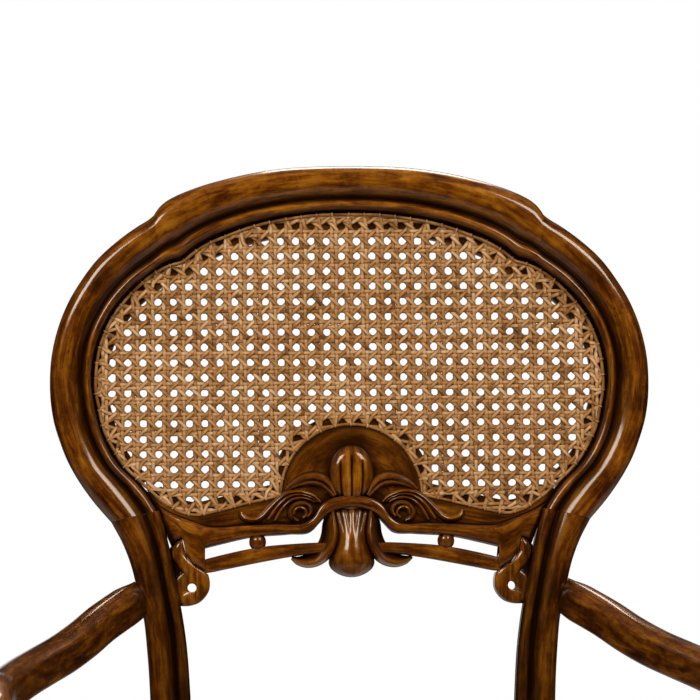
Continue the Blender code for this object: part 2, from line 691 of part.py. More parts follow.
def make_lower_rail():
    """Plank with the cane's ledge, its raised field and the band along its foot."""
    stile, clear, tab, foot = rail_right_half(SLAB_INSET, SLAB_INSET)
    base = np.concatenate((ledge_outline(), stile, clear, tab, foot))
    rail = slab("lower_back_rail", mirrored(base), -FRAME_HALF_DEPTH, LEDGE_LEVEL, WALNUT)
    edge = grown_binder(BINDER_WIDTH / 2 + 2 * GAP)
    edge = edge[len(BINDER_UPPER):len(BINDER_UPPER) + len(BINDER_FOOT) + len(BINDER_ARCH)][::-1]
    edge = edge[edge[:, 0] < stile_inner_at(BACK_HEIGHT * MITRE_SHARE) - OVERRUN * 2]
    edge[0, 0] = 0
    stile, clear, tab, foot = rail_right_half(SLAB_INSET / 2, SLAB_INSET * 2)
    outline = np.concatenate((edge, stile[len(stile) // 2:], clear, tab, foot))
    field = slab("field.lower_back_rail", mirrored(outline), LEDGE_LEVEL - EMBED, FIELD_LEVEL)
    combine(rail, field, "UNION")
    stile, clear, tab, foot = rail_right_half(0, 0)
    top = smooth_curve(in_shares(BAND_TOP_SHARES), 2 * CURVE_STEPS)
    stile = [place for place in stile if place[1] < top[-1][1] - GAP]
    outline = np.concatenate((top, stile, clear, tab, foot))
    band = slab("band.lower_back_rail", mirrored(outline), FIELD_LEVEL - EMBED - EMBED, BAND_LEVEL)
    combine(rail, band, "UNION")
    return rail


def make_cane():
    """Caned panel with its woven gaps, and the binder strip over its edge."""
    edge = grown_binder(BINDER_WIDTH / 2)
    curve = bpy.data.curves.new("cane_panel", "CURVE")
    curve.dimensions = "2D"
    curve.fill_mode = "BOTH"
    curve.extrude = CANE_THICKNESS / 2
    curve.render_resolution_u = 0
    add_loop(curve, edge)
    for x, v in cane_gaps():
        half = CANE_GAP_SIZE / 2
        add_loop(curve, ((x - half, v), (x, v - half), (x + half, v), (x, v + half)))
    panel = bpy.data.objects.new("cane_panel", curve)
    bpy.context.scene.collection.objects.link(panel)
    panel.location = in_back(0, 0, LEDGE_LEVEL + GAP + CANE_THICKNESS / 2)
    panel.rotation_euler = (math.pi / 2 - BACK_LEAN, 0, 0)
    finish(panel, CANE)
    level = LEDGE_LEVEL + 2 * GAP + CANE_THICKNESS
    outside = grown_binder(BINDER_WIDTH / 2)
    inside = grown_binder(-BINDER_WIDTH / 2)
    rings = []
    for out, inn in zip(outside, inside):
        middle = (out + inn) / 2
        rings.append([in_back(*out, level), in_back(*middle, level + BINDER_THICKNESS), in_back(*inn, level)])
    return loft("cane_binder", rings, CANE, ends=False)


def add_loop(curve, outline):
    """One closed straight-sided loop of a flat curve."""
    spline = curve.splines.new("POLY")
    spline.points.add(len(outline) - 1)
    for point, (x, v) in zip(spline.points, outline):
        point.co = (x, v, 0, 1)
    spline.use_cyclic_u = True


def cane_gaps():
    """Centres of the gaps: a square lattice inside the ledge, alike on both sides of the centre line."""
    limit = grown_binder(-(LEDGE_WIDTH - BINDER_WIDTH / 2))
    count = int(BACK_HALF_WIDTH / CANE_GAP_PITCH) + 1
    rows = int(BACK_HEIGHT / CANE_GAP_PITCH) + 1
    centres = []
    for row in range(rows):
        for column in range(-count, count):
            place = np.array(((column + 0.5) * CANE_GAP_PITCH, (row + 0.5) * CANE_GAP_PITCH))
            if inside(place, limit) and clearance(place, limit) > CANE_GAP_MARGIN:
                centres.append(place)
    return centres


def inside(place, outline):
    """True where a closed outline goes round the place."""
    following = np.roll(outline, -1, axis=0)
    spans = (outline[:, 1] > place[1]) != (following[:, 1] > place[1])
    rise = np.where(spans, following[:, 1] - outline[:, 1], 1)
    crossing = outline[:, 0] + (place[1] - outline[:, 1]) * (following[:, 0] - outline[:, 0]) / rise
    return np.count_nonzero(spans & (crossing > place[0])) % 2 == 1


def clearance(place, outline):
    """Least distance from a place to the points of an outline."""
    return np.min(np.linalg.norm(spread_evenly(outline, 4 * len(outline)) - place, axis=1))


def bar_top(x):
    """Height of the lower bar's top edge at a place across."""
    span = TAB_INNER - PENDANT_NECK
    share = (x - PENDANT_NECK) / span
    rise = in_shares(BAND_FOOT_SHARES)[-1][1] - BAR_HEIGHT / 2 - GAP
    return rise + BAR_HEIGHT * (1 - share * share)


def make_bar(tag, side):
    """Slender bar under the rail, from the pendant to the tab beside the ear."""
    places = np.linspace(PENDANT_NECK + GAP, TAB_INNER - GAP, CURVE_STEPS)
    rings = []
    for x in places:
        low = bar_top(x) - BAR_HEIGHT
        ring = [in_back(x, low + BAR_HEIGHT * v, BAR_HALF_DEPTH * n) for v, n in BAR_SECTION_SHARES]
        rings.append(turned(ring, side))
    return loft(f"lower_bar_{tag}", rings, WALNUT)


def make_bead(tag, side, rail, bar):
    """Turned bead between rail and bar, seated in a hollow in each."""
    foot = in_shares(BAND_FOOT_SHARES)
    top = float(np.interp(BEAD_ACROSS, foot[:, 0], foot[:, 1]))
    middle = (top + bar_top(BEAD_ACROSS)) / 2
    start = in_back(BEAD_ACROSS * side, middle - BEAD_RADIUS, BEAD_FORWARD)
    end = in_back(BEAD_ACROSS * side, middle + BEAD_RADIUS, BEAD_FORWARD)
    shares = [(1 - math.cos(math.pi * i / BEAD_RINGS)) / 2 for i in range(1, BEAD_RINGS)]
    ball = [(share, 2 * BEAD_RADIUS * math.sqrt(share * (1 - share))) for share in shares]
    bead = rod(f"bead_{tag}", start, end, ball, WALNUT, sides=BEAD_SIDES)
    hollow = [(share, radius + 2 * GAP) for share, radius in ball]
    beyond = 3 * GAP / BEAD_RADIUS
    hollow = [(hollow[0][0] - beyond, hollow[0][1])] + hollow + [(hollow[-1][0] + beyond, hollow[-1][1])]
    for host in (rail, bar):
        combine(host, rod(f"hollow.{host.name}.{tag}", start, end, hollow, sides=BEAD_SIDES), "DIFFERENCE")
    return bead


def make_ear(tag, side):
    """Pierced scroll in the corner of rail and stile."""
    edge = ear_edge()
    lobe = in_shares(EAR_LOBE_SHARES)
    lobe[0][1] = min(lobe[0][1], bar_top(TAB_INNER) - BAR_HEIGHT - 2 * GAP)
    edge[-1][1] = min(edge[-1][1], bar_top(TAB_INNER) - BAR_HEIGHT - 2 * GAP)
    stile = stile_edge(lobe[-1][1], edge[0][1], 0)
    outline = np.concatenate((edge, lobe[:-1], stile))
    ear = slab(f"scroll_ear_{tag}", outline * (side, 1), EAR_BACK, EAR_FRONT, WALNUT)
    eye = in_shares([EYE_PLACE_SHARES])[0] * (side, 1)
    start = in_back(*eye, EAR_BACK - OVERRUN)
    end = in_back(*eye, EAR_FRONT + OVERRUN)
    hole = rod(f"eye.{tag}", start, end, ((0, EYE_RADIUS), (1, EYE_RADIUS)), sides=BEAD_SIDES)
    combine(ear, hole, "DIFFERENCE")
    return ear


def make_pendant():
    """Fluted drop under the band's arch, with a leaf curl on each side."""
    arch = smooth_curve(in_shares(BAND_FOOT_SHARES)[:5], CURVE_STEPS)
    clear = arch - left_normals(arch) * GAP * 2
    clear = clear[clear[:, 0] < PENDANT_NECK - GAP]
    clear[0] = (0, arch[0][1] - 2 * GAP)
    neck_top = float(np.interp(PENDANT_NECK, arch[:, 0], arch[:, 1])) - 3 * GAP
    bar_low = bar_top(PENDANT_NECK) - BAR_HEIGHT - GAP
    places = np.linspace(PENDANT_NECK, LEAF_REACH, 6)
    leaf_top = [(x, bar_top(x) - BAR_HEIGHT - GAP - GAP) for x in places]
    height = bar_low - PENDANT_DROP
    leaf_foot = PENDANT_DROP + height * LEAF_FOOT_SHARE
    leaf = [(LEAF_REACH * share, leaf_foot + height * rise) for share, rise in LEAF_SHARES]
    bottom = [(0, PENDANT_DROP + height * PENDANT_FOOT_SHARE)]
    half = np.concatenate((clear, [(PENDANT_NECK, neck_top)], leaf_top, leaf, bottom))
    pendant = slab("pendant", mirrored(half), PENDANT_BACK, PENDANT_FRONT, WALNUT)
    top = arch[0][1] - OVERRUN
    rings = []
    for rise, width, depth in BULB_SHARES:
        v = PENDANT_DROP + (top - PENDANT_DROP) * rise
        rings.append(half_round(0, v, BULB_HALF_WIDTH * width, BULB_DEPTH * depth, PENDANT_BACK / 2))
    combine(pendant, loft("bulb.pendant", rings), "UNION")
    return pendant


def half_round(x, v, half_width, depth, back):
    """A ring across the back: flat behind and fluted round in front."""
    ring = []
    for i in range(FLUTE_STEPS):
        angle = math.pi * i / (FLUTE_STEPS - 1)
        radius = 1 - FLUTE_DEPTH / BULB_HALF_WIDTH * (i % 2)
        across = x + half_width * radius * math.cos(angle)
        ring.append(in_back(across, v, back + depth * radius * math.sin(angle)))
    return ring


def make_palmette():
    """Oval boss with upright flutes, on the arched field."""
    centre = ARCH_FOOT_HEIGHT + PALMETTE_HALF_HEIGHT + SLAB_INSET
    levels = np.sin(np.linspace(-1, 1, 9) * math.pi / 2 * PALMETTE_END_SHARE)
    rings = []
    for share in levels:
        size = math.sqrt(1 - share**2)
        v = centre + PALMETTE_HALF_HEIGHT * share
        rings.append(half_round(0, v, PALMETTE_HALF_WIDTH * size, PALMETTE_RISE * size, FIELD_LEVEL + GAP))
    return loft("palmette", rings, WALNUT)


def make_leaf_scroll(tag, side):
    """Carved frond with its volute and tail, beside the palmette."""
    outline = in_shares(LEAF_SCROLL_SHARES) * (LEAF_SCROLL_REACH_SHARE, LEAF_SCROLL_TOP_SHARE)
    top = smooth_curve(in_shares(BAND_TOP_SHARES), 2 * CURVE_STEPS)
    ceiling = np.interp(outline[:, 0], top[:, 0], top[:, 1]) + SLAB_INSET
    outline[:, 1] = np.maximum(outline[:, 1], ceiling)
    low = FIELD_LEVEL + GAP
    crown = drawn_in(outline)
    crown[:, 1] = np.maximum(crown[:, 1], np.interp(crown[:, 0], top[:, 0], top[:, 1]) + SLAB_INSET)
    rings = []
    for share, shape in ((0, outline), (0.5, outline), (1, crown)):
        level = low + LEAF_SCROLL_RISE * share
        rings.append(turned([in_back(x, v, level) for x, v in shape], side))
    return loft(f"leaf_scroll_{tag}", rings, WALNUT)


def drawn_in(outline):
    """An outline with every point moved a little towards the middle of its neighbours."""
    neighbours = (np.roll(outline, 1, axis=0) + np.roll(outline, -1, axis=0)) / 2
    return outline + (neighbours - outline) * DRAWN_IN_SHARE


# Seat frame

def side_rail_line():
    """Centre line of the right side rail: start, direction and outward normal, seen from above."""
    half = SEAT_RAIL_THICKNESS / 2
    start = np.array((stile_outer_at(LINES["stile"][0][-1][1]), leg_front(SEAT_RAIL_TOP)))
    end = np.array((FRONT_LEG_ACROSS + BLOCK_HALF, SEAT_DEPTH - BLOCK_HALF))
    direction = unit(end - start)
    normal = np.array((direction[1], -direction[0]))
    return start - normal * half, direction, normal


def leg_front(z):
    """Forward place of the rear leg's front face at a height beside the seat rails."""
    return (DATUM_HEIGHT - z) * math.tan(BACK_LEAN) + REAR_LEG_HALF_DEPTH / math.cos(BACK_LEAN)


def side_rail_at(forward, offset):
    """Across place on the side rail at a forward place, offset outwards from its centre line."""
    start, direction, normal = side_rail_line()
    base = start + normal * offset
    return base[0] + direction[0] * (forward - base[1]) / direction[1]


def rail_section(thickness, low, high):
    """Section of a seat rail: outward offset and height, with the upholstery's rebate."""
    half = thickness / 2
    step = REBATE_HEIGHT
    groove = REBATE_DEPTH / 3
    return ((-half, low), (half - groove, low), (half, low + groove), (half, high - step - 3 * groove),
            (half - groove, high - step - 2 * groove), (half - groove, high - step),
            (half - REBATE_DEPTH, high - step), (half - REBATE_DEPTH, high), (-half, high))


def make_side_rail(tag, side):
    """Side rail of the seat, from the rear leg's face to the front leg's block."""
    section = rail_section(SEAT_RAIL_THICKNESS, SEAT_RAIL_TOP - SEAT_RAIL_HEIGHT, SEAT_RAIL_TOP)
    rings = ([], [])
    for offset, z in section:
        rear = leg_front(z) + GAP / math.cos(BACK_LEAN)
        front = SEAT_DEPTH - BLOCK_HALF - GAP
        rings[0].append(in_seat(side_rail_at(rear, offset), rear, z))
        rings[1].append(in_seat(side_rail_at(front, offset), front, z))
    return loft(f"side_seat_rail_{tag}", [turned(ring, side) for ring in rings], WALNUT)


def front_bow(x):
    """How far the front rail stands out at a place across."""
    span = FRONT_LEG_ACROSS - BLOCK_HALF
    return FRONT_BOW * math.cos(math.pi / 2 * min(1, abs(x) / span))**2


def make_front_rail():
    """Bowed front rail with a waved lower edge."""
    span = FRONT_LEG_ACROSS - BLOCK_HALF - GAP
    middle = SEAT_DEPTH + BLOCK_HALF - SEAT_RAIL_THICKNESS / 2
    rings = []
    for share in np.linspace(-1, 1, 11):
        x = span * share
        low = SEAT_RAIL_TOP - SEAT_RAIL_HEIGHT - APRON_WAVE * (1 + math.cos(2 * math.pi * share))
        section = rail_section(SEAT_RAIL_THICKNESS, low, SEAT_RAIL_TOP)
        rings.append([in_seat(x, middle + offset + front_bow(x), z) for offset, z in section])
    return loft("front_seat_rail", rings, WALNUT)


def make_rear_rail():
    """Rear rail of the seat, between the rear legs."""
    span = rear_span() - GAP
    half = REAR_RAIL_THICKNESS / 2
    low = SEAT_RAIL_TOP - SEAT_RAIL_HEIGHT
    rings = []
    for x in (-span, span):
        corners = ((-half, low), (half, low), (half, SEAT_RAIL_TOP), (-half, SEAT_RAIL_TOP))
        rings.append([in_seat(x, REAR_RAIL_FORWARD + offset, z) for offset, z in corners])
    return loft("rear_seat_rail", rings, WALNUT)


def house_cover(rails):
    """Lower the ends of the rails beside the rear legs, where the cover is cut round the stiles."""
    skin = NOTCH_GAP + COVER_THICKNESS + 2 * GAP
    shelf = SEAT_RAIL_TOP - REBATE_HEIGHT
    height = REBATE_HEIGHT / 2 + OVERRUN
    axes = (ACROSS, FORWARD, UP)
    for tag, side in SIDES:
        half = (skin + OVERRUN) / 2
        centre = in_seat((rear_span() - skin + half) * side, REAR_RAIL_FORWARD, shelf + height)
        tool = block(f"housing.rear.{tag}", centre, axes, (half, REAR_RAIL_THICKNESS, height))
        combine(rails["rear"], tool, "DIFFERENCE")
        half = (skin + REAR_LEG_HALF_DEPTH) / 2
        face = leg_front(shelf)
        centre = in_seat(side_rail_at(face, 0) * side, face + skin - half, shelf + height)
        tool = block(f"housing.side.{tag}", centre, axes, (SEAT_RAIL_THICKNESS, half, height))
        combine(rails[f"side_{tag}"], tool, "DIFFERENCE")


def rear_span():
    """Half the room between the rear legs at the seat."""
    return stile_inner_at(LINES["stile"][1][-1][1])


def make_front_leg(tag, side):
    """Cabriole front leg with its square block for the rails."""
    top = SEAT_RAIL_TOP
    shelf = top - REBATE_HEIGHT
    foot = SEAT_RAIL_TOP - SEAT_RAIL_HEIGHT
    stations = [(z * top, reach * KNEE_REACH, size * BLOCK_HALF, round_share)
                for z, reach, size, round_share in FRONT_LEG_SHARES]
    stations[0] = (GLIDE_HEIGHT + GAP, *stations[0][1:])
    inset = REBATE_DEPTH / 2
    narrow = (GAP - inset, BLOCK_HALF - inset - GAP, BLOCK_ROUND_SHARE)
    stations += [(foot, 0, BLOCK_HALF, 0), (shelf, 0, BLOCK_HALF, 0), (shelf, *narrow), (top, *narrow)]
    rings = []
    for z, reach, half, round_share in stations:
        slide = reach * math.sqrt(0.5) if z < foot else reach
        ring = [in_seat(FRONT_LEG_ACROSS + slide + half * x, SEAT_DEPTH + slide + half * y, z)
                for x, y in rounded_square(round_share)]
        rings.append(turned(ring, side))
    return loft(f"front_leg_{tag}", rings, WALNUT)


def rounded_square(round_share):
    """Twelve points from a square, at 0, to a circle, at 1."""
    points = []
    for i in range(12):
        angle = math.pi / 4 + math.pi * i / 6
        x, y = math.cos(angle), math.sin(angle)
        stretch = 1 / max(abs(x), abs(y))
        size = stretch + (1 - stretch) * round_share
        points.append((x * size, y * size))
    return points


def seat_tenons(rails, legs):
    """Tenons of the seat rails in the legs."""
    middle = SEAT_RAIL_TOP - SEAT_RAIL_HEIGHT * TENON_LEVEL_SHARE
    half_height = SEAT_TENON_HEIGHT / 2
    half_thick = SEAT_TENON_THICKNESS / 2
    half_length = (SEAT_TENON_LENGTH + TENON_ROOT) / 2
    for tag, side in SIDES:
        axes = (ACROSS, FORWARD, UP)
        face = SEAT_DEPTH - BLOCK_HALF
        x = side_rail_at(face, 0)
        centre = in_seat(x * side, face + half_length - TENON_ROOT, middle)
        half = (half_thick, half_length, half_height)
        tenon(rails[f"side_{tag}"], legs[f"front_{tag}"], centre, axes, half)
        face = leg_front(middle)
        x = side_rail_at(face, 0)
        centre = in_seat(x * side, face - half_length + TENON_ROOT, middle)
        tenon(rails[f"side_{tag}"], legs[f"rear_{tag}"], centre, axes, half)
        x = FRONT_LEG_ACROSS - BLOCK_HALF + half_length - TENON_ROOT
        centre = in_seat(x * side, SEAT_DEPTH + BLOCK_HALF - SEAT_RAIL_THICKNESS / 2, middle)
        half = (half_length, half_thick, half_height)
        tenon(rails["front"], legs[f"front_{tag}"], centre, axes, half)
        reach = half_length - SEAT_TENON_LENGTH / 8
        x = rear_span() + reach - TENON_ROOT
        centre = in_seat(x * side, REAR_RAIL_FORWARD, middle)
        tenon(rails["rear"], legs[f"rear_{tag}"], centre, axes, (reach, half_thick, half_height))


def back_tenons(crest, sides, legs, lower_rail):
    """Tenons that hold the back's frame together."""
    for tag, side in SIDES:
        outer, inner = LINES["side"]
        spot = outer[0] + (inner[0] - outer[0]) * CREST_JOINT_SHARE
        place_tenon(sides[tag], crest, spot, unit(inner[0] - outer[0]), CREST_TENON, side)
        spot = outer[-1] + (inner[-1] - outer[-1]) * WAIST_JOINT_SHARE
        place_tenon(sides[tag], legs[f"rear_{tag}"], spot, unit(outer[-1] - inner[-1]), WAIST_TENON, side)
        width, length = RAIL_TENON
        v = ear_edge()[0][1] + width / 2 + OVERRUN
        x = stile_inner_at(v) + (length - TENON_ROOT) / 2
        centre = in_back(x * side, v, (LEDGE_LEVEL - FRAME_HALF_DEPTH) / 2)
        half = ((length + TENON_ROOT) / 2, width / 2, TENON_THICKNESS / 2)
        tenon(lower_rail, legs[f"rear_{tag}"], centre, (ACROSS, BACK_UP, BACK_OUT), half)


def place_tenon(owner, host, spot, line, size, side):
    """A tenon square to a joint line of the back, to the right hand of that line."""
    width, length = size
    normal = np.array((line[1], -line[0]))
    half = (length + TENON_ROOT) / 2
    place = spot + normal * (half - TENON_ROOT)
    along = (ACROSS * line[0] * side + BACK_UP * line[1])
    outward = (ACROSS * normal[0] * side + BACK_UP * normal[1])
    centre = in_back(place[0] * side, place[1], (LEDGE_LEVEL - FRAME_HALF_DEPTH) / 2)
    tenon(owner, host, centre, (along, outward, BACK_OUT), (width / 2, half, TENON_THICKNESS / 2))


# Arms

def sweep(points, half_widths, half_heights, section_shares, first_side):
    """Rings along a path, each square to it and carried on without twist."""
    points = np.array(points)
    slopes = np.gradient(points, axis=0)
    aside = first_side
    rings = []
    for point, slope, width, height in zip(points, slopes, half_widths, half_heights):
        along = unit(slope)
        aside = unit(aside - along * np.dot(aside, along))
        over = np.cross(aside, along)
        rings.append([point + aside * a * width + over * h * height for a, h in section_shares])
    return rings


def arm_root():
    """Where the arm meets the stile: place across and height in the back."""
    return np.array((stile_outer_at(ARM_ROOT_HEIGHT), ARM_ROOT_HEIGHT))


def arm_path():
    """Points of the right arm's centre line, from just off the stile to the scroll's end."""
    x, v = arm_root()
    root = in_back(x, v, 0)
    fall = root[2] - ARM_LEVEL
    spread = ARM_SPREAD - root[0]
    reach = ARM_REACH + root[1]
    points = [(root[0] + spread * a, root[1] - reach * f, ARM_LEVEL + fall * d)
              for a, f, d in ARM_PATH_SHARES]
    points += [(ARM_SPREAD, root[1] - reach * f, ARM_LEVEL - SCROLL_DROP * d) for f, d in ARM_SCROLL_SHARES]
    curve = smooth_curve(points, CURVE_STEPS * ARM_STEPS)
    closing = 1 - (1 - np.linspace(0, 1, ARM_STEPS))**ARM_CROWDING_SHARE
    places = closing * (len(curve) - 1)
    return np.column_stack([np.interp(places, range(len(curve)), column) for column in curve.T])


def make_arm(tag, side):
    """Arm from the stile out and forward to its scroll."""
    path = arm_path()
    count = len(path)
    first_side = np.cross(path[1] - path[0], UP)
    widths = np.linspace(ARM_HALF_WIDTH * ARM_NECK_SHARE, ARM_HALF_WIDTH, count)
    ways, sizes = zip(*ARM_HEIGHT_SHARES)
    heights = ARM_HALF_HEIGHT * np.interp(np.arange(count) / (count - 1), ways, sizes)
    rings = sweep(path, widths, heights, ARM_SECTION_SHARES, first_side)
    x, v = arm_root()
    slope = unit(np.array((stile_outer_at(v + OVERRUN), v + OVERRUN)) - (stile_outer_at(v), v))
    up = ACROSS * slope[0] + BACK_UP * slope[1]
    out = ACROSS * slope[1] - BACK_UP * slope[0]
    root = in_back(x, v, 0) + out * 2 * GAP
    half = ARM_HALF_WIDTH * ARM_ROOT_SHARE
    first = [root + BACK_OUT * a * half + up * h * ARM_HALF_HEIGHT for a, h in ARM_SECTION_SHARES]
    return loft(f"arm_{tag}", [turned(ring, side) for ring in [first] + rings], WALNUT)


def support_path():
    """Points of the right arm support, from the rail's outer face to the arm's underside."""
    x = side_rail_at(SUPPORT_FORWARD, SEAT_RAIL_THICKNESS / 2 + SUPPORT_HALF + GAP)
    path = arm_path()[:ARM_STEPS * 3 // 4]
    forward_top = SUPPORT_FORWARD + SUPPORT_PATH_SHARES[-1][1] * (ARM_LEVEL - SUPPORT_FOOT)
    x_top = float(np.interp(forward_top, -path[:, 1], path[:, 0]))
    above = np.interp(forward_top + SUPPORT_HALF * np.array((-1, 0, 1)), -path[:, 1], path[:, 2])
    top = min(above) - ARM_HALF_HEIGHT - GAP
    points = [(x + (x_top - x) * a, -(SUPPORT_FORWARD + f * (top - SUPPORT_FOOT)),
               SUPPORT_FOOT + (top - SUPPORT_FOOT) * h) for a, f, h in SUPPORT_PATH_SHARES]
    return points


def make_support(tag, side):
    """Curved arm support, screwed to the side rail and pinned into the arm."""
    points = np.array(support_path())
    _, direction, normal = side_rail_line()
    first_side = np.array((normal[0], -normal[1], 0))
    sizes = [share * SUPPORT_HALF for share in SUPPORT_SIZE_SHARES]
    steps = np.linspace(0, len(points) - 1, CURVE_STEPS)
    sizes = np.interp(steps, range(len(points)), sizes)
    dense = smooth_curve(points, CURVE_STEPS)
    dense[:, 0] = np.maximum(dense[:, 0], points[0][0])
    rings = sweep(dense, sizes, sizes, rounded_square(SUPPORT_ROUND_SHARE), first_side)
    for ring, level in ((rings[0], dense[0][2]), (rings[-1], dense[-1][2])):
        for point in ring:
            point[2] = level
    support = loft(f"arm_support_{tag}", [turned(ring, side) for ring in rings], WALNUT)
    base = dense[-1] * (side, 1, 1)
    return support, base


def join_arms(supports, arms, legs, rails):
    """Pins, tenons, pegs and screws of the arms."""
    for tag, side in SIDES:
        support, base = supports[tag]
        radius = SUPPORT_PIN_RADIUS
        start = base - UP * TENON_ROOT
        end = base + UP * SUPPORT_PIN_LENGTH
        combine(support, rod(f"pin.{tag}", start, end, ((0, radius), (1, radius))), "UNION")
        bore(arms[tag], start, end, ((0, radius), (1, radius)))
        x, v = arm_root()
        half_length = (ARM_TENON_LENGTH + TENON_ROOT) / 2
        centre = in_back((x - half_length + TENON_ROOT) * side, v, 0)
        half = (half_length, ARM_TENON_HALF * TENON_HEIGHT_SHARE, ARM_TENON_HALF)
        tenon(arms[tag], legs[f"rear_{tag}"], centre, (ACROSS, BACK_UP, BACK_OUT), half)
        place = (x - ARM_TENON_LENGTH * PEG_PLACE_SHARE) * side
        depth = FRAME_HALF_DEPTH + GAP
        start = in_back(place, v, -depth - PEG_RADIUS / 2)
        end = in_back(place, v, ARM_TENON_HALF + PEG_RADIUS)
        radii = [(way, PEG_RADIUS * size) for way, size in PEG_SHARES]
        rod(f"arm_peg_{tag}", start, end, radii, WALNUT)
        bore(arms[tag], start, end, radii)
        bore(legs[f"rear_{tag}"], start, end, radii)
        add_support_screw(tag, side, rails[f"side_{tag}"], support)


def screw(name, start, direction, hosts):
    """A countersunk screw and its holes in the pieces that it passes through."""
    end = start + direction * SCREW_LENGTH
    neck = SCREW_HEAD_LENGTH / SCREW_LENGTH
    radii = ((0, SCREW_HEAD_RADIUS), (neck / 3, SCREW_HEAD_RADIUS), (neck, SCREW_RADIUS),
             (1 - neck, SCREW_RADIUS), (1, SCREW_RADIUS / 4))
    rod(name, start, end, radii, STEEL)
    for host in hosts:
        bore(host, start, end, radii, mouth=SCREW_HEAD_LENGTH)


def add_support_screw(tag, side, rail, support):
    """Screw from inside the side rail into the arm support's foot."""
    _, _, normal = side_rail_line()
    inner = side_rail_at(SUPPORT_FORWARD, -SEAT_RAIL_THICKNESS / 2)
    middle = SEAT_RAIL_TOP - SEAT_RAIL_HEIGHT / 2
    start = in_seat(inner * side, SUPPORT_FORWARD, middle)
    direction = np.array((normal[0] * side, -normal[1], 0))
    screw(f"support_screw_{tag}", start + direction * SCREW_HEAD_LENGTH / 3, direction, (rail, support))


# Corner blocks, glides and upholstery

def make_corner_blocks(rails):
    """Glued and screwed blocks in the four corners of the seat frame."""
    high = SEAT_RAIL_TOP - SEAT_RAIL_HEIGHT / 4
    low = high - BLOCK_HEIGHT
    middle = (high + low) / 2
    half = SEAT_RAIL_THICKNESS / 2
    for tag, side in SIDES:
        inner_front = SEAT_DEPTH + BLOCK_HALF - SEAT_RAIL_THICKNESS - GAP
        post = FRONT_LEG_ACROSS - BLOCK_HALF - GAP
        behind = SEAT_DEPTH - BLOCK_HALF - GAP
        tail = behind - FRONT_BLOCK_LEG
        outline = np.array(((post - FRONT_BLOCK_LEG, inner_front), (post, inner_front), (post, behind),
                            (side_rail_at(behind, -half - GAP), behind),
                            (side_rail_at(tail, -half - GAP), tail)))
        front = standing_slab(f"corner_block_front_{tag}", outline * (side, 1), low, high, BEECH)
        screw_to_rail(f"block_screw_front_{tag}_1", front, rails["front"], outline[0], outline[1], outline[4],
                      side, middle)
        screw_to_rail(f"block_screw_front_{tag}_2", front, rails[f"side_{tag}"], outline[4], outline[3],
                      outline[0], side, middle)
        face = REAR_RAIL_FORWARD + REAR_RAIL_THICKNESS / 2 + GAP
        post = rear_span() - GAP
        ahead = leg_front(low) + GAP
        tail = ahead + REAR_BLOCK_LEG
        outline = np.array(((post - REAR_BLOCK_LEG, face), (post, face), (post, ahead),
                            (side_rail_at(ahead, -half - GAP), ahead),
                            (side_rail_at(tail, -half - GAP), tail)))
        rear = standing_slab(f"corner_block_rear_{tag}", outline * (side, 1), low, high, BEECH)
        screw_to_rail(f"block_screw_rear_{tag}_1", rear, rails["rear"], outline[0], outline[1], outline[4],
                      side, middle)
        screw_to_rail(f"block_screw_rear_{tag}_2", rear, rails[f"side_{tag}"], outline[4], outline[3],
                      outline[0], side, middle)


def screw_to_rail(name, body, rail, tail, corner, other_tail, side, level):
    """A screw that enters on the block's slanting face and runs square into a rail."""
    along = unit(corner - tail)
    square = np.array((-along[1], along[0]))
    if np.dot(square, other_tail - tail) > 0:
        square = -square
    face = unit(other_tail - tail)
    walk = FRONT_BLOCK_LEG * SCREW_WALK_SHARE
    foot = tail + along * walk
    depth = walk * abs(np.dot(face, -square)) / abs(np.dot(face, along))
    start = foot - square * depth + square * SCREW_HEAD_LENGTH
    direction = np.array((square[0] * side, -square[1], 0))
    screw(name, in_seat(start[0] * side, start[1], level), direction, (body, rail))


def make_glides(legs):
    """Domed glides under the feet."""
    spots = {}
    for tag, side in SIDES:
        slide = FRONT_LEG_SHARES[0][1] * KNEE_REACH * math.sqrt(0.5)
        spots[f"front_{tag}"] = ((FRONT_LEG_ACROSS + slide) * side, SEAT_DEPTH + slide)
        foot = leg_stations()[-1]
        spots[f"rear_{tag}"] = ((foot[0][0] + foot[1][0]) / 2 * side, -foot[0][1])
    for name, (x, forward) in spots.items():
        start = in_seat(x, forward, 0)
        end = in_seat(x, forward, GLIDE_HEIGHT)
        radii = [(way, GLIDE_RADIUS * size) for way, size in GLIDE_SHARES]
        rod(f"glide_{name}", start, end, radii, STEEL)


def seat_outline(depth):
    """Plan of the upholstery, drawn in by a depth from the cover's outer face."""
    skin = COVER_THICKNESS + GAP
    rear = REAR_RAIL_FORWARD - REAR_RAIL_THICKNESS / 2 - skin + depth
    notch_x = rear_span() - NOTCH_GAP - depth
    notch_forward = leg_front(SEAT_RAIL_TOP - REBATE_HEIGHT) + NOTCH_GAP + depth
    offset = SEAT_RAIL_THICKNESS / 2 - REBATE_DEPTH + skin - depth
    corner_x = FRONT_LEG_ACROSS + BLOCK_HALF - REBATE_DEPTH + skin - depth
    corner_forward = SEAT_DEPTH + BLOCK_HALF - REBATE_DEPTH + skin - depth
    nose = BLOCK_HALF / 10
    side_end = SEAT_DEPTH - BLOCK_HALF
    rear_line = [(notch_x * share, rear) for share in (0, 0.5, 1)]
    side_line = [(side_rail_at(f, offset), f) for f in np.linspace(notch_forward, side_end, 5)]
    side_line = [(min(x, corner_x), f) for x, f in side_line]
    corner = [(corner_x, corner_forward - nose), (corner_x - nose / 3, corner_forward - nose / 3),
              (corner_x - nose, corner_forward)]
    span = FRONT_LEG_ACROSS - BLOCK_HALF
    front_line = [(x, corner_forward + front_bow(x)) for x in np.linspace(span, 0, 6)]
    return np.array(rear_line + [(notch_x, notch_forward)] + side_line + corner + front_line)


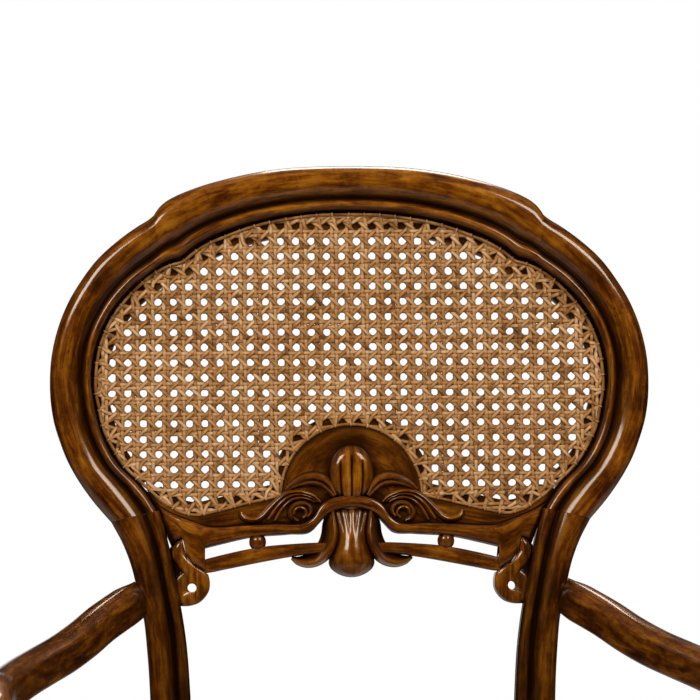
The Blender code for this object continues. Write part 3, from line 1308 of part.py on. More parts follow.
def cushion_rings(depth, base, drop):
    """Rings of the cushion, from its foot up to its crown, drawn in by a depth."""
    outline = mirrored(seat_outline(depth))
    centre = np.array((0, (SEAT_DEPTH + REAR_RAIL_FORWARD) / 2))
    foot = SEAT_RAIL_TOP - REBATE_HEIGHT + GAP
    height = SEAT_RAIL_TOP + CUSHION_CROWN - foot
    rings = []
    for inward, rise in CUSHION_SHARES:
        z = foot + height * rise - drop
        if z < base:
            continue
        rings.append([in_seat(*(centre + (point - centre) * (1 - inward)), z) for point in outline])
    return rings


def make_upholstery():
    """Cover, stuffing, hessian, gimp and dust cover of the seat."""
    outer = cushion_rings(0, 0, 0)
    inner = cushion_rings(COVER_THICKNESS, 0, COVER_THICKNESS)
    inner[0] = [point * (1, 1, 0) + UP * outer[0][0][2] for point in inner[0]]
    loft("seat_cover", inner[::-1] + outer, FABRIC)
    hessian_low = webbing_middle() + WEBBING_WAVE + WEBBING_THICKNESS / 2 + GAP
    hessian_high = hessian_low + HESSIAN_THICKNESS
    inset = COVER_THICKNESS + 4 * GAP
    plan = mirrored(seat_outline(inset))
    standing_slab("hessian", plan, hessian_low, hessian_high, JUTE)
    base = hessian_high + GAP
    stuffing = cushion_rings(inset, base, COVER_THICKNESS + GAP)
    stuffing.insert(0, [in_seat(x, forward, base) for x, forward in plan])
    loft("seat_stuffing", stuffing, LINEN)
    low = SEAT_RAIL_TOP - REBATE_HEIGHT + GAP
    rings = []
    outside = mirrored(seat_outline(-GAP - GIMP_THICKNESS))
    inside_line = mirrored(seat_outline(-GAP))
    for out, inn in zip(outside, inside_line):
        rings.append([in_seat(*inn, low), in_seat(*out, low), in_seat(*out, low + GIMP_HEIGHT),
                      in_seat(*inn, low + GIMP_HEIGHT)])
    loft("seat_gimp", rings, FABRIC, ends=False)
    make_dust_cover()


def make_dust_cover():
    """Black cloth tacked under the side and rear rails, open to the legs."""
    half = SEAT_RAIL_THICKNESS / 2
    front = SEAT_DEPTH + BLOCK_HALF - SEAT_RAIL_THICKNESS - 3 * GAP
    post = FRONT_LEG_ACROSS - BLOCK_HALF - OVERRUN
    behind = SEAT_DEPTH - BLOCK_HALF - OVERRUN
    ahead = leg_front(SEAT_RAIL_TOP - SEAT_RAIL_HEIGHT) + OVERRUN
    rear = REAR_RAIL_FORWARD - half / 2
    legs = rear_span() - OVERRUN
    outline = ((0, rear), (legs, rear), (legs, ahead), (side_rail_at(ahead, half / 2), ahead),
               (side_rail_at(behind, half / 2), behind), (post, behind), (post, front), (0, front))
    high = SEAT_RAIL_TOP - SEAT_RAIL_HEIGHT - GAP
    standing_slab("dust_cover", mirrored(outline), high - DUST_COVER_THICKNESS, high, BLACK_CLOTH)


def webbing_middle():
    """Middle height of the interlaced webbing."""
    return SEAT_RAIL_TOP + GAP + WEBBING_THICKNESS / 2 + WEBBING_WAVE


def make_webbing():
    """Three strips each way, one over and one under the next."""
    spots = [SEAT_DEPTH * share for share in WEBBING_CROSS_SHARES]
    columns = [(rear_span() - WEBBING_MARGIN - WEBBING_WIDTH / 2) * i for i in (-1, 0, 1)]
    rest = COVER_THICKNESS + 5 * GAP
    rear = REAR_RAIL_FORWARD - REAR_RAIL_THICKNESS / 2 + rest
    middle = SEAT_DEPTH + BLOCK_HALF - REBATE_DEPTH - rest
    for i, x in enumerate(columns):
        front = middle + front_bow(x) * 0.9
        stops = crossings(rear, front, spots, i)
        half = WEBBING_WIDTH / 2
        rings = [[in_seat(x - half, f, z - t), in_seat(x + half, f, z - t), in_seat(x + half, f, z + t),
                  in_seat(x - half, f, z + t)] for f, z, t in stops]
        loft(f"webbing_long_{i + 1}", rings, JUTE)
    for i, forward in enumerate(spots):
        half = WEBBING_WIDTH / 2
        reach = side_rail_at(forward - half, SEAT_RAIL_THICKNESS / 2 - REBATE_DEPTH) - rest
        stops = crossings(-reach, reach, columns, i + 1)
        rings = [[in_seat(x, forward - half, z - t), in_seat(x, forward + half, z - t),
                  in_seat(x, forward + half, z + t), in_seat(x, forward - half, z + t)] for x, z, t in stops]
        loft(f"webbing_cross_{i + 1}", rings, JUTE)


def crossings(start, end, places, first):
    """Stops of a strip: place, height and half thickness, over or under each strip that it meets."""
    level = webbing_middle()
    half = WEBBING_WIDTH / 2 + OVERRUN
    thick = WEBBING_THICKNESS / 2
    stops = [(start, level - WEBBING_WAVE, thick)]
    for i, place in enumerate(places):
        height = level + WEBBING_WAVE * (1 if (i + first) % 2 == 0 else -1)
        stops += [(place - half, height, thick), (place + half, height, thick)]
    stops.append((end, level - WEBBING_WAVE, thick))
    return stops


def rest_on_origin():
    """Slide the whole chair so that its box stands centred on the origin."""
    bpy.context.view_layer.update()
    corners = []
    for piece in bpy.data.objects:
        if not piece.hide_render:
            corners += [piece.matrix_world @ Vector(corner) for corner in piece.bound_box]
    corners = np.array(corners)
    shift = (corners.min(axis=0) + corners.max(axis=0)) / 2
    for piece in bpy.data.objects:
        piece.location.x -= shift[0]
        piece.location.y -= shift[1]


def build():
    """Make every piece of the chair and join them."""
    for old in list(bpy.data.objects):
        bpy.data.objects.remove(old, do_unlink=True)
    crest = make_crest()
    sides = {tag: make_side(tag, side) for tag, side in SIDES}
    legs = {f"rear_{tag}": make_rear_leg(tag, side) for tag, side in SIDES}
    legs.update({f"front_{tag}": make_front_leg(tag, side) for tag, side in SIDES})
    lower_rail = make_lower_rail()
    make_cane()
    for tag, side in SIDES:
        make_bead(tag, side, lower_rail, make_bar(tag, side))
        make_ear(tag, side)
        make_leaf_scroll(tag, side)
    make_pendant()
    make_palmette()
    rails = {f"side_{tag}": make_side_rail(tag, side) for tag, side in SIDES}
    rails["front"] = make_front_rail()
    rails["rear"] = make_rear_rail()
    back_tenons(crest, sides, legs, lower_rail)
    seat_tenons(rails, legs)
    house_cover(rails)
    arms = {tag: make_arm(tag, side) for tag, side in SIDES}
    supports = {tag: make_support(tag, side) for tag, side in SIDES}
    join_arms(supports, arms, legs, rails)
    make_corner_blocks(rails)
    make_glides(legs)
    make_webbing()
    make_upholstery()
    rest_on_origin()


build()
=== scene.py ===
"""Looks of a cane back armchair in carved, antiqued walnut with an upholstered seat.

Metres, +Z up. The chair faces -Y, and left and right are as seen from the front.
A place in the back is (x, v, n): across, up the leaning plane from the line
through the arms, and forward out of that plane. Tables of the back are in mm.
"""

import math

import bpy
import numpy as np
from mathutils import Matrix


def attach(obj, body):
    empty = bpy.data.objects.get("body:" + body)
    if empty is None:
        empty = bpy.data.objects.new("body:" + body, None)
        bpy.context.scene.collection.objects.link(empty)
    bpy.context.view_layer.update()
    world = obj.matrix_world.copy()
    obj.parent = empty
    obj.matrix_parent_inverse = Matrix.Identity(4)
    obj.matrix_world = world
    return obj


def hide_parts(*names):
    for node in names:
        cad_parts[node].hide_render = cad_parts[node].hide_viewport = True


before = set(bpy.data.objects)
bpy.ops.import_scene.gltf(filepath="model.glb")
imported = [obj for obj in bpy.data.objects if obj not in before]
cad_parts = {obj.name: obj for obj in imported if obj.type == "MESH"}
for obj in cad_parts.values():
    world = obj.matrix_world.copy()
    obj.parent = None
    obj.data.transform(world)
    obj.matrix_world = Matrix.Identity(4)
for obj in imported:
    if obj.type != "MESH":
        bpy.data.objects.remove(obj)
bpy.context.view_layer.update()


# Crest rail and curved side members: the moulded frame round the cane.
# Walnut boards sawn to the curve and worked with moulding planes and gouges: a wide roll, a cove, dark with
# glaze and painted shade, a bead, and a rebate behind them that carries the cane.

MM = 0.001
SIDES = (("left", -1), ("right", 1))
BACK_LEAN = math.radians(10)
BACK_FOOT = np.array((0, 0.2148, 0.642))
HALF_DEPTH = 14
CREST_OUTER = ((0, 402.4), (26, 402), (52.3, 400.5), (80.9, 396.5), (102.1, 391.8), (119.5, 387),
               (133.2, 382.2), (144.4, 377.4), (151.5, 373.4), (156.5, 369.3), (159.8, 365.2),
               (162.3, 361.2))
CREST_INNER = ((0, 364), (49.9, 360.4), (102.3, 346.8), (120, 338.7), (131, 331.6), (138.4, 325.6),
               (141.4, 324), (146, 323), (155.6, 319.2))
SIDE_OUTER = ((162.3, 361.2), (167.2, 357.4), (174.7, 352.8), (192.1, 340.3), (210, 323.7), (222.4, 307.1),
              (232.4, 290.4), (239.5, 273.9), (244.4, 257.3), (247.3, 240.7), (248.2, 224), (247.6, 207.5),
              (245, 190.8), (240, 174.2), (233.4, 157.6), (224.1, 141.1), (212.2, 124.4), (197.8, 107.6))
SIDE_INNER = ((155.6, 319.2), (182.4, 297.6), (200.3, 274), (209, 252.4), (212.5, 222), (210, 203.2),
              (205, 182.4), (190.1, 154.4), (173, 137.6), (165.3, 128), (158.6, 117))
# Share of the way from outer to inner edge, height, and how much glaze and painted shade lie there
RIM_PROFILE = ((0.06, -14, 0.4), (0.014, -13.3, 0.35), (0, -11.6, 0.3), (0, -4, 0.3), (0, 2.4, 0.3),
               (0.014, 6, 0.2), (0.045, 8.8, 0.1), (0.09, 11.2, 0.03), (0.15, 12.9, 0), (0.22, 13.8, 0),
               (0.30, 14, 0.02), (0.38, 13.7, 0.08), (0.46, 12.9, 0.18), (0.53, 11.7, 0.3),
               (0.595, 10, 0.48), (0.64, 8.3, 0.68), (0.675, 6.6, 0.9), (0.70, 5.4, 1), (0.72, 5, 1),
               (0.738, 5.6, 0.95), (0.755, 6.9, 0.6), (0.78, 8.3, 0.25), (0.81, 9.2, 0.08),
               (0.84, 9.5, 0.05), (0.87, 9.2, 0.1), (0.90, 8.2, 0.25), (0.925, 6.6, 0.5),
               (0.945, 4.6, 0.8), (0.96, 2, 1), (0.975, -0.8, 1), (1, -2, 1))
RIM_STEPS = 64
# Across and glaze with painted shade count this much against height where the profile is made even
RIM_WEIGHTS = (36, 1, 3)
# The cane's ledge past the inner edge: share of its reach, height, glaze and painted shade
LEDGE_PROFILE = ((0.97, -2, 0.6), (1, -2.6, 0.6), (1, -12.6, 0.7), (0.97, -13.4, 0.5), (0.5, -14, 0.4))
LEDGE_REACH = 15
BARE_LEDGE_REACH = 0.4
# Height at which a side member's ledge gives way to the lower rail's, and over how much
LEDGE_END = 139
LEDGE_FADE = 4


def linear(code):
    """Linear red, green, blue and alpha from an sRGB hex colour."""
    parts = [int(code[i:i + 2], 16) / 255 for i in (1, 3, 5)]
    return [c / 12.92 if c <= 0.04045 else ((c + 0.055) / 1.055) ** 2.4 for c in parts] + [1]


def add(tree, kind, settings=None, **links):
    """Add a node with its settings and links.

    Settings are properties or input values by name, and a ramp's stops as (place, hex colour or
    grey level). Links are inputs by name, or by number after an underscore, fed by a socket or a value.
    """
    node = tree.nodes.new(kind)
    for name, value in (settings or {}).items():
        if name == "stops":
            while len(node.color_ramp.elements) < len(value):
                node.color_ramp.elements.new(0.5)
            for element, (place, colour) in zip(node.color_ramp.elements, value):
                element.position = place
                element.color = linear(colour) if isinstance(colour, str) else (colour, colour, colour, 1)
        elif hasattr(node, name):
            setattr(node, name, value)
        else:
            node.inputs[name].default_value = value
    for name, source in links.items():
        target = node.inputs[int(name[1:]) if name[1:].isdigit() else name.replace("_", " ")]
        if isinstance(source, bpy.types.NodeSocket):
            tree.links.new(source, target)
        else:
            target.default_value = source
    return node


def new_material(name):
    """An empty node material with its principled shader, its tree and its output joined."""
    material = bpy.data.materials.new(name)
    material.use_nodes = True
    tree = material.node_tree
    return material, tree, tree.nodes["Principled BSDF"]


def antiqued_walnut(name, tint=0.5, carved=True):
    """Walnut under dark glaze and gloss lacquer; a higher tint is paler.

    Golden brown where hands wore the glaze away, near black where the glaze lies in the coves and where
    shade is painted into recesses, under parts and at joints, with fine long pores, soft clouds in the stain
    and small dark distress marks. Pores are 0.25 mm wide and drawn 0.6 mm, so that they show. A carved piece
    brings its own grain, and its glaze with painted shade; a plain one has its grain along the room's axes.
    """
    material, tree, shader = new_material(name)
    place = add(tree, "ShaderNodeTexCoord").outputs["Object"]
    grain = add(tree, "ShaderNodeUVMap", {"uv_map": "grain"}).outputs["UV"] if carved else place
    glaze = add(tree, "ShaderNodeAttribute", {"attribute_name": "glaze"}).outputs["Fac"] if carved else 0.35
    figure_map = add(tree, "ShaderNodeMapping", {"Scale": (26, 190, 1)}, Vector=grain).outputs["Vector"]
    figure = add(tree, "ShaderNodeTexNoise", {"Scale": 1, "Detail": 5, "Roughness": 0.6, "Distortion": 0.4},
                 Vector=figure_map).outputs["Fac"]
    pore_map = add(tree, "ShaderNodeMapping", {"Scale": (110, 1500, 1)}, Vector=grain).outputs["Vector"]
    pores = add(tree, "ShaderNodeTexNoise", {"Scale": 1, "Detail": 2, "Roughness": 0.5},
                Vector=pore_map).outputs["Fac"]
    clouds, mottle = (add(tree, "ShaderNodeTexNoise", {"Scale": scale, "Detail": detail, "Roughness": rough},
                          Vector=place).outputs["Fac"]
                      for scale, detail, rough in ((34, 4, 0.6), (190, 3, 0.65)))
    marks = add(tree, "ShaderNodeTexVoronoi", {"Scale": 150, "Randomness": 1},
                Vector=place).outputs["Distance"]
    rare = add(tree, "ShaderNodeTexNoise", {"Scale": 55, "Detail": 1}, Vector=place).outputs["Fac"]
    tone = add(tree, "ShaderNodeMath", {"operation": "MULTIPLY_ADD"}, _0=figure, _1=0.66, _2=tint - 0.6)
    for part, weight in ((clouds, 0.3), (mottle, 0.24), (pores, 0.2)):
        tone = add(tree, "ShaderNodeMath", {"operation": "MULTIPLY_ADD"}, _0=part, _1=weight,
                   _2=tone.outputs[0])
    stain = add(tree, "ShaderNodeValToRGB",
                {"stops": ((0.38, "#170702"), (0.50, "#391803"), (0.60, "#603108"), (0.70, "#8b5310"),
                           (0.84, "#b07a20"))}, Fac=tone.outputs[0]).outputs["Color"]
    # Glaze and painted shade: the stain goes towards near black #0c0502 where they lie, with a little of the
    # mottle
    depth = add(tree, "ShaderNodeMath", {"operation": "MULTIPLY_ADD"}, _0=mottle, _1=0.5, _2=-0.25)
    depth = add(tree, "ShaderNodeMath", {"operation": "ADD", "use_clamp": True}, _0=glaze,
                _1=depth.outputs[0])
    veil = add(tree, "ShaderNodeValToRGB", {"stops": ((0.0, 0.0), (0.35, 0.34), (0.7, 0.8), (1.0, 0.97))},
               Fac=depth.outputs[0]).outputs["Color"]
    glazed_and_shaded = add(tree, "ShaderNodeMix", {"data_type": "RGBA"}, _0=veil, _6=stain, _7=linear("#0c0502"))
    dents = add(tree, "ShaderNodeValToRGB", {"stops": ((0.0, 1.0), (0.10, 0.75), (0.16, 0.0))},
                Fac=marks).outputs["Color"]
    chosen = add(tree, "ShaderNodeValToRGB", {"stops": ((0.50, 0.0), (0.60, 0.9))},
                 Fac=rare).outputs["Color"]
    speck = add(tree, "ShaderNodeMath", {"operation": "MULTIPLY"}, _0=dents, _1=chosen).outputs[0]
    colour = add(tree, "ShaderNodeMix", {"data_type": "RGBA"}, _0=speck, _6=glazed_and_shaded.outputs[2],
                 _7=linear("#120802"))
    tree.links.new(colour.outputs[2], shader.inputs["Base Color"])
    rough = add(tree, "ShaderNodeValToRGB", {"stops": ((0.3, 0.34), (0.7, 0.46))},
                Fac=clouds).outputs["Color"]
    tree.links.new(rough, shader.inputs["Roughness"])
    height = add(tree, "ShaderNodeMath", {"operation": "MULTIPLY_ADD"}, _0=pores, _1=0.25, _2=figure)
    height = add(tree, "ShaderNodeMath", {"operation": "SUBTRACT"}, _0=height.outputs[0], _1=speck)
    bump = add(tree, "ShaderNodeBump", {"Strength": 0.16, "Distance": 0.0006}, Height=height.outputs[0])
    tree.links.new(bump.outputs["Normal"], shader.inputs["Normal"])
    shader.inputs["Specular IOR Level"].default_value = 0.5
    shader.inputs["Specular Tint"].default_value = linear("#d08a2c")
    lacquer = add(tree, "ShaderNodeMath", {"operation": "MULTIPLY_ADD"}, _0=veil, _1=-0.7, _2=1)
    tree.links.new(lacquer.outputs[0], shader.inputs["Coat Weight"])
    shader.inputs["Coat Roughness"].default_value = 0.13
    shader.inputs["Coat IOR"].default_value = 1.5
    return material


def through(points, count):
    """Evenly spaced points on the cubic curve through the given ones.

    Between neighbours p(t) = (2t^3-3t^2+1) p0 + (t^3-2t^2+t) m0 + (3t^2-2t^3) p1 + (t^3-t^2) m1,
    with slopes m taken across each point's two neighbours.
    """
    points = np.asarray(points, float)
    knots = np.concatenate(([0], np.cumsum(np.linalg.norm(np.diff(points, axis=0), axis=1))))
    slopes = np.gradient(points, knots, axis=0)
    fine = np.linspace(0, knots[-1], 48 * len(points))
    k = np.clip(np.searchsorted(knots, fine, side="right") - 1, 0, len(points) - 2)
    chord = (knots[k + 1] - knots[k])[:, None]
    t = (fine[:, None] - knots[k][:, None]) / chord
    dense = (2 * t**3 - 3 * t**2 + 1) * points[k] + (t**3 - 2 * t**2 + t) * chord * slopes[k]
    dense += (3 * t**2 - 2 * t**3) * points[k + 1] + (t**3 - t**2) * chord * slopes[k + 1]
    return spread(dense, count)


def spread(points, count):
    """The given number of points, evenly spaced by length along a chain of points."""
    along = np.concatenate(([0], np.cumsum(np.linalg.norm(np.diff(points, axis=0), axis=1))))
    wanted = np.linspace(0, along[-1], count)
    return np.column_stack([np.interp(wanted, along, column) for column in points.T])


def in_back(x, v, n):
    """Places in space from mm in the back: y = v sin a - n cos a and z = v cos a + n sin a, a the lean."""
    y = v * math.sin(BACK_LEAN) - n * math.cos(BACK_LEAN)
    z = v * math.cos(BACK_LEAN) + n * math.sin(BACK_LEAN)
    return np.stack(np.broadcast_arrays(x, y, z), axis=-1) * MM + BACK_FOOT


def shell(points, glaze=0.0, loop=False, tone=0.0, upright=False):
    """One closed skin over a grid of points, rows along it and columns round it.

    Its two ends are capped, or joined to each other where it is a loop. A place's grain is
    (length along the rows, length round the columns), or (z, x) where the grain stands
    upright. The skin is turned so that its volume, the sum of a . (b x c) / 6 over its
    triangles, is positive.
    """
    rows, columns = points.shape[:2]
    r, c = np.meshgrid(np.arange(rows if loop else rows - 1), np.arange(columns), indexing="ij")
    corner_rows = np.stack((r, r, r + 1, r + 1), axis=-1).reshape(-1, 4)
    corner_columns = np.stack((c, c + 1, c + 1, c), axis=-1).reshape(-1, 4)
    quads = corner_rows % rows * columns + corner_columns % columns
    steps = np.linalg.norm(np.roll(points, -1, axis=0) - points, axis=2).mean(axis=1)
    along = np.concatenate(([0], np.cumsum(steps)))
    steps = np.linalg.norm(np.roll(points, -1, axis=1) - points, axis=2).mean(axis=0)
    round_it = np.concatenate(([0], np.cumsum(steps)))
    grain = np.stack((along[corner_rows], round_it[corner_columns]), axis=-1)
    flat = points.reshape(-1, 3)
    if upright:
        grain = flat[quads][..., (2, 0)]
    ends = [] if loop else [np.arange(columns)[::-1], np.arange(columns) + (rows - 1) * columns]
    middle = flat.mean(axis=0)
    a, b, d, e = (flat[quads[:, i]] - middle for i in range(4))
    volume = np.sum(a * np.cross(b, d)) + np.sum(a * np.cross(d, e))
    if volume < 0:
        quads, grain = quads[:, ::-1], grain[:, ::-1]
        ends = [end[::-1] for end in ends]
    level = np.broadcast_to(glaze, (rows, columns)).reshape(-1)
    return {"points": flat, "quads": quads, "grain": grain, "ends": ends, "glaze": level,
            "tone": np.full(len(flat), tone)}


def make_piece(name, shells, material, sharp=50):
    """One mesh object from closed skins, smooth but for edges sharper than the given degrees."""
    starts = np.cumsum([0] + [len(skin["points"]) for skin in shells])
    points = np.concatenate([skin["points"] for skin in shells])
    quads = np.concatenate([skin["quads"] + start for skin, start in zip(shells, starts)])
    ends = [end + start for skin, start in zip(shells, starts) for end in skin["ends"]]
    corners = np.concatenate([quads.reshape(-1)] + ends)
    sizes = np.concatenate((np.full(len(quads), 4), [len(end) for end in ends])).astype(np.int32)
    grain = np.concatenate([skin["grain"].reshape(-1, 2) for skin in shells])
    flat_grain = points[np.concatenate(ends)][:, (0, 2)] if ends else np.zeros((0, 2))
    grain = np.concatenate((grain, flat_grain))
    mesh = bpy.data.meshes.new(name)
    mesh.vertices.add(len(points))
    mesh.vertices.foreach_set("co", points.astype(np.float32).ravel())
    mesh.loops.add(len(corners))
    mesh.loops.foreach_set("vertex_index", corners.astype(np.int32))
    mesh.polygons.add(len(sizes))
    loop_starts = np.concatenate(([0], np.cumsum(sizes)[:-1]))
    mesh.polygons.foreach_set("loop_start", loop_starts.astype(np.int32))
    mesh.update(calc_edges=True)
    mesh.uv_layers.new(name="grain").data.foreach_set("uv", grain.astype(np.float32).ravel())
    for label in ("glaze", "tone"):
        values = np.concatenate([skin[label] for skin in shells]).astype(np.float32)
        mesh.attributes.new(label, "FLOAT", "POINT").data.foreach_set("value", values)
    mesh.validate()
    mesh.shade_smooth()
    mesh.set_sharp_from_angle(angle=math.radians(sharp))
    piece = bpy.data.objects.new(name, mesh)
    bpy.context.scene.collection.objects.link(piece)
    mesh.materials.append(material)
    return piece


def settle(piece, slot, *nodes):
    """The piece rides on the chair's one body and stands for CAD nodes, which are hidden. The slot is not
    used.
    """
    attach(piece, "root")
    if nodes:
        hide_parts(*nodes)


def make_pair(name, grids, material, sharp=50, **skin):
    """The left and right piece of dark walnut, each from grids of the right one's places and glaze with
    painted shade.
    """
    for tag, side in SIDES:
        shells = [shell(points * (side, 1, 1), glaze, **skin) for points, glaze in grids]
        piece = make_piece(f"{name}_{tag}", shells, material, sharp)
        settle(piece, "dark_walnut", f"{name}_{tag}")


def moulding(outer, inner, profile, reach):
    """Rings of the frame: outer + t (inner - outer) across at the profile's height, then the ledge.

    The ledge is inner + r s, with r its reach square to the edge and s the share of it.
    """
    t, n, glaze = profile.T
    share, ledge_n, ledge_glaze_and_shade = np.array(LEDGE_PROFILE).T
    across = (inner - outer)[:, None, :]
    flat = outer[:, None, :] + across * t[None, :, None]
    inwards = across / np.linalg.norm(across, axis=2, keepdims=True)
    ledge = inner[:, None, :] + inwards * reach * share[None, :, None]
    flat = np.concatenate((flat, ledge), axis=1)
    n = np.concatenate((n, ledge_n))
    return in_back(flat[..., 0], flat[..., 1], n[None, :]), np.concatenate((glaze, ledge_glaze_and_shade))


def even_profile(table, steps, weights):
    """A profile table made finer along its own smooth curve, with its columns weighted for length."""
    return through(np.array(table) * weights, steps) / weights


def with_mirror(half):
    """A line of the back from its right half, which starts on the centre line."""
    half = np.array(half, float)
    return np.concatenate(((half * (-1, 1))[:0:-1], half))


# The glaze is whole on most of the frame, and worn to gold on the crest and the carving
walnut = antiqued_walnut("antiqued_walnut_gloss_lacquer")
rubbed = antiqued_walnut("antiqued_walnut_rubbed_through", 0.55)
rim = even_profile(RIM_PROFILE, RIM_STEPS, RIM_WEIGHTS)

crest_lines = [through(with_mirror(line), 240) for line in (CREST_OUTER, CREST_INNER)]
crest_points, crest_glaze_and_shade = moulding(*crest_lines, rim, LEDGE_REACH)
crest = make_piece("crest_rail", [shell(crest_points, crest_glaze_and_shade)], rubbed)
settle(crest, "dark_walnut", "crest_rail")

side_lines = [through(line, 190) for line in (SIDE_OUTER, SIDE_INNER)]
ledged, side_glaze_and_shade = moulding(*side_lines, rim, LEDGE_REACH)
bare, _ = moulding(*side_lines, rim, BARE_LEDGE_REACH)
ledge_share = np.clip((side_lines[1][:, 1] - LEDGE_END) / LEDGE_FADE, 0, 1)[:, None, None]
side_points = bare + (ledged - bare) * ledge_share
make_pair("side_member", [(side_points, side_glaze_and_shade)], walnut)


# Stiles and rear legs: each is one piece from the waist joint down to the floor.
# The back's roll, cove and bead run down to the seat, where the timber turns square;
# below the seat the leg sweeps back and tapers to its foot.

STILE_OUTER = ((197.8, 107.6), (189.1, 91.2), (182.7, 74.8), (176.5, 50), (172, 30), (168.8, 0),
               (166.5, -40), (165.8, -100))
STILE_INNER = ((158.6, 117), (153.4, 97), (150.4, 84.4), (147.2, 68), (144.7, 52.8), (141.5, 36.8),
               (137.5, 10), (134.5, -30), (133, -100))
# Share of the way in, share of the half depth, glaze and painted shade: with the moulding, and squared
STILE_PROFILE = ((0.06, -1, 0.4), (0.015, -0.93, 0.35), (0, -0.8, 0.3), (0, -0.2, 0.3), (0, 0.2, 0.3),
                 (0.015, 0.43, 0.22), (0.05, 0.62, 0.14), (0.11, 0.80, 0.1), (0.20, 0.93, 0.1),
                 (0.29, 0.99, 0.12), (0.38, 1, 0.18), (0.47, 0.95, 0.25), (0.55, 0.86, 0.38),
                 (0.60, 0.74, 0.5), (0.64, 0.58, 0.75), (0.67, 0.46, 0.95), (0.695, 0.42, 1),
                 (0.715, 0.46, 0.95), (0.735, 0.54, 0.7), (0.76, 0.61, 0.45), (0.80, 0.66, 0.3),
                 (0.86, 0.68, 0.25), (0.92, 0.66, 0.3), (0.965, 0.58, 0.4), (1, 0.42, 0.5), (1, -0.2, 0.6),
                 (1, -0.8, 0.6), (0.985, -0.93, 0.5), (0.94, -1, 0.4))
SQUARE_PROFILE = ((0.07, -1), (0.02, -0.95), (0, -0.86), (0, -0.2), (0, 0.4), (0, 0.80), (0.012, 0.91),
                  (0.04, 0.97), (0.09, 1), (0.20, 1), (0.30, 1), (0.38, 1), (0.46, 1), (0.52, 1), (0.57, 1),
                  (0.62, 1), (0.66, 1), (0.70, 1), (0.74, 1), (0.78, 1), (0.83, 1), (0.88, 1), (0.93, 0.995),
                  (0.975, 0.955), (1, 0.84), (1, -0.2), (1, -0.86), (0.98, -0.95), (0.93, -1))
# Across, height and glaze with painted shade count this much where the profile is made even
STILE_WEIGHTS = (34, 16, 2)
SQUARE_GLAZE = 0.22
# Painted shade added to the stiles between the seat and the waist, where little light falls
STILE_PAINTED_SHADE = 0.26
WAIST_OVERLAP_SHARE = 0.12
SQUARE_ABOVE = 10
SQUARE_OVER = 55
LEG_HALF_DEPTH = 18
FOOT_HALF_DEPTH = 13.5
FOOT_WIDTH = 25
SEAT_RAIL_TOP = 0.425
SEAT_RAIL_FOOT = 0.363
STRAIGHT_BELOW_RAIL = 4
FOOT_BACK = 34
FOOT_SLOPE = 0.28
GLIDE_TOP = 4.3


def cubic(start, leave, end, arrive, t):
    """Cubic from start to end with the given slopes at its ends, and its own slope."""
    place = (2 * t**3 - 3 * t**2 + 1) * start + (3 * t**2 - 2 * t**3) * end
    place += (t**3 - 2 * t**2 + t) * leave + (t**3 - t**2) * arrive
    slope = (6 * t**2 - 6 * t) * (start - end) + (3 * t**2 - 4 * t + 1) * leave + (3 * t**2 - 2 * t) * arrive
    return place, slope


def stile_stations():
    """Outer and inner edge, way out, half depth and squareness from the waist to below the seat.

    The depth grows with the square of the way down, and the squareness is 3 s^2 - 2 s^3.
    """
    outer, inner = through(STILE_OUTER, 90), through(STILE_INNER, 90)
    for line in (outer, inner):
        line[0] += (line[1] - line[0]) * WAIST_OVERLAP_SHARE
    share = (outer[0, 1] - outer[:, 1]) / (outer[0, 1] - outer[-1, 1])
    foot_v = ((SEAT_RAIL_FOOT - BACK_FOOT[2]) / MM - STRAIGHT_BELOW_RAIL) / math.cos(BACK_LEAN)
    straight = np.linspace(outer[-1, 1], foot_v, 24)[1:]
    outer, inner = (np.concatenate((line, np.column_stack((np.full_like(straight, line[-1, 0]), straight))))
                    for line in (outer, inner))
    depth = HALF_DEPTH + (LEG_HALF_DEPTH - HALF_DEPTH) * share**2
    depth = np.concatenate((depth, np.full_like(straight, LEG_HALF_DEPTH)))
    square = np.clip((STILE_OUTER[-1][1] + SQUARE_ABOVE - outer[:, 1]) / SQUARE_OVER, 0, 1)
    square = square * square * (3 - 2 * square)
    out = np.tile((0, -math.cos(BACK_LEAN), math.sin(BACK_LEAN)), (len(outer), 1))
    return in_back(*outer.T, 0), in_back(*inner.T, 0), out, depth, square


def leg_stations(outer, inner):
    """The same from below the seat to the floor: a cubic sweep back, with an even taper."""
    t = np.linspace(0, 1, 60)[1:]
    drop = outer[2] - GLIDE_TOP * MM
    back, slope = cubic(outer[1], -math.tan(BACK_LEAN) * drop, BACK_FOOT[1] + FOOT_BACK * MM,
                        FOOT_SLOPE * drop, t)
    angle = -np.arctan(slope / drop) * np.clip((1 - t) * 12, 0, 1)
    taper = (outer[0] - inner[0] - FOOT_WIDTH * MM) / 2 * t
    edges = [np.column_stack((x, back, outer[2] - drop * t)) for x in (outer[0] - taper, inner[0] + taper)]
    out = np.column_stack((np.zeros_like(t), -np.cos(angle), np.sin(angle)))
    depth = LEG_HALF_DEPTH + (FOOT_HALF_DEPTH - LEG_HALF_DEPTH) * t
    return *edges, out, depth, np.ones_like(t)


stile = stile_stations()
leg_stretch = leg_stations(stile[0][-1], stile[1][-1])
leg_outer, leg_inner, leg_out, leg_depth, leg_square = (
    np.concatenate(stretches) for stretches in zip(stile, leg_stretch))
moulded = np.array(STILE_PROFILE)
squared = np.column_stack((SQUARE_PROFILE, np.full(len(SQUARE_PROFILE), SQUARE_GLAZE)))
leg_profile = moulded[None] + (squared - moulded)[None] * leg_square[:, None, None]
leg_profile = np.stack([even_profile(ring, 60, STILE_WEIGHTS) for ring in leg_profile])
leg_points = leg_outer[:, None] + (leg_inner - leg_outer)[:, None] * leg_profile[..., :1]
leg_points = leg_points + leg_out[:, None] * leg_profile[..., 1:2] * leg_depth[:, None, None] * MM
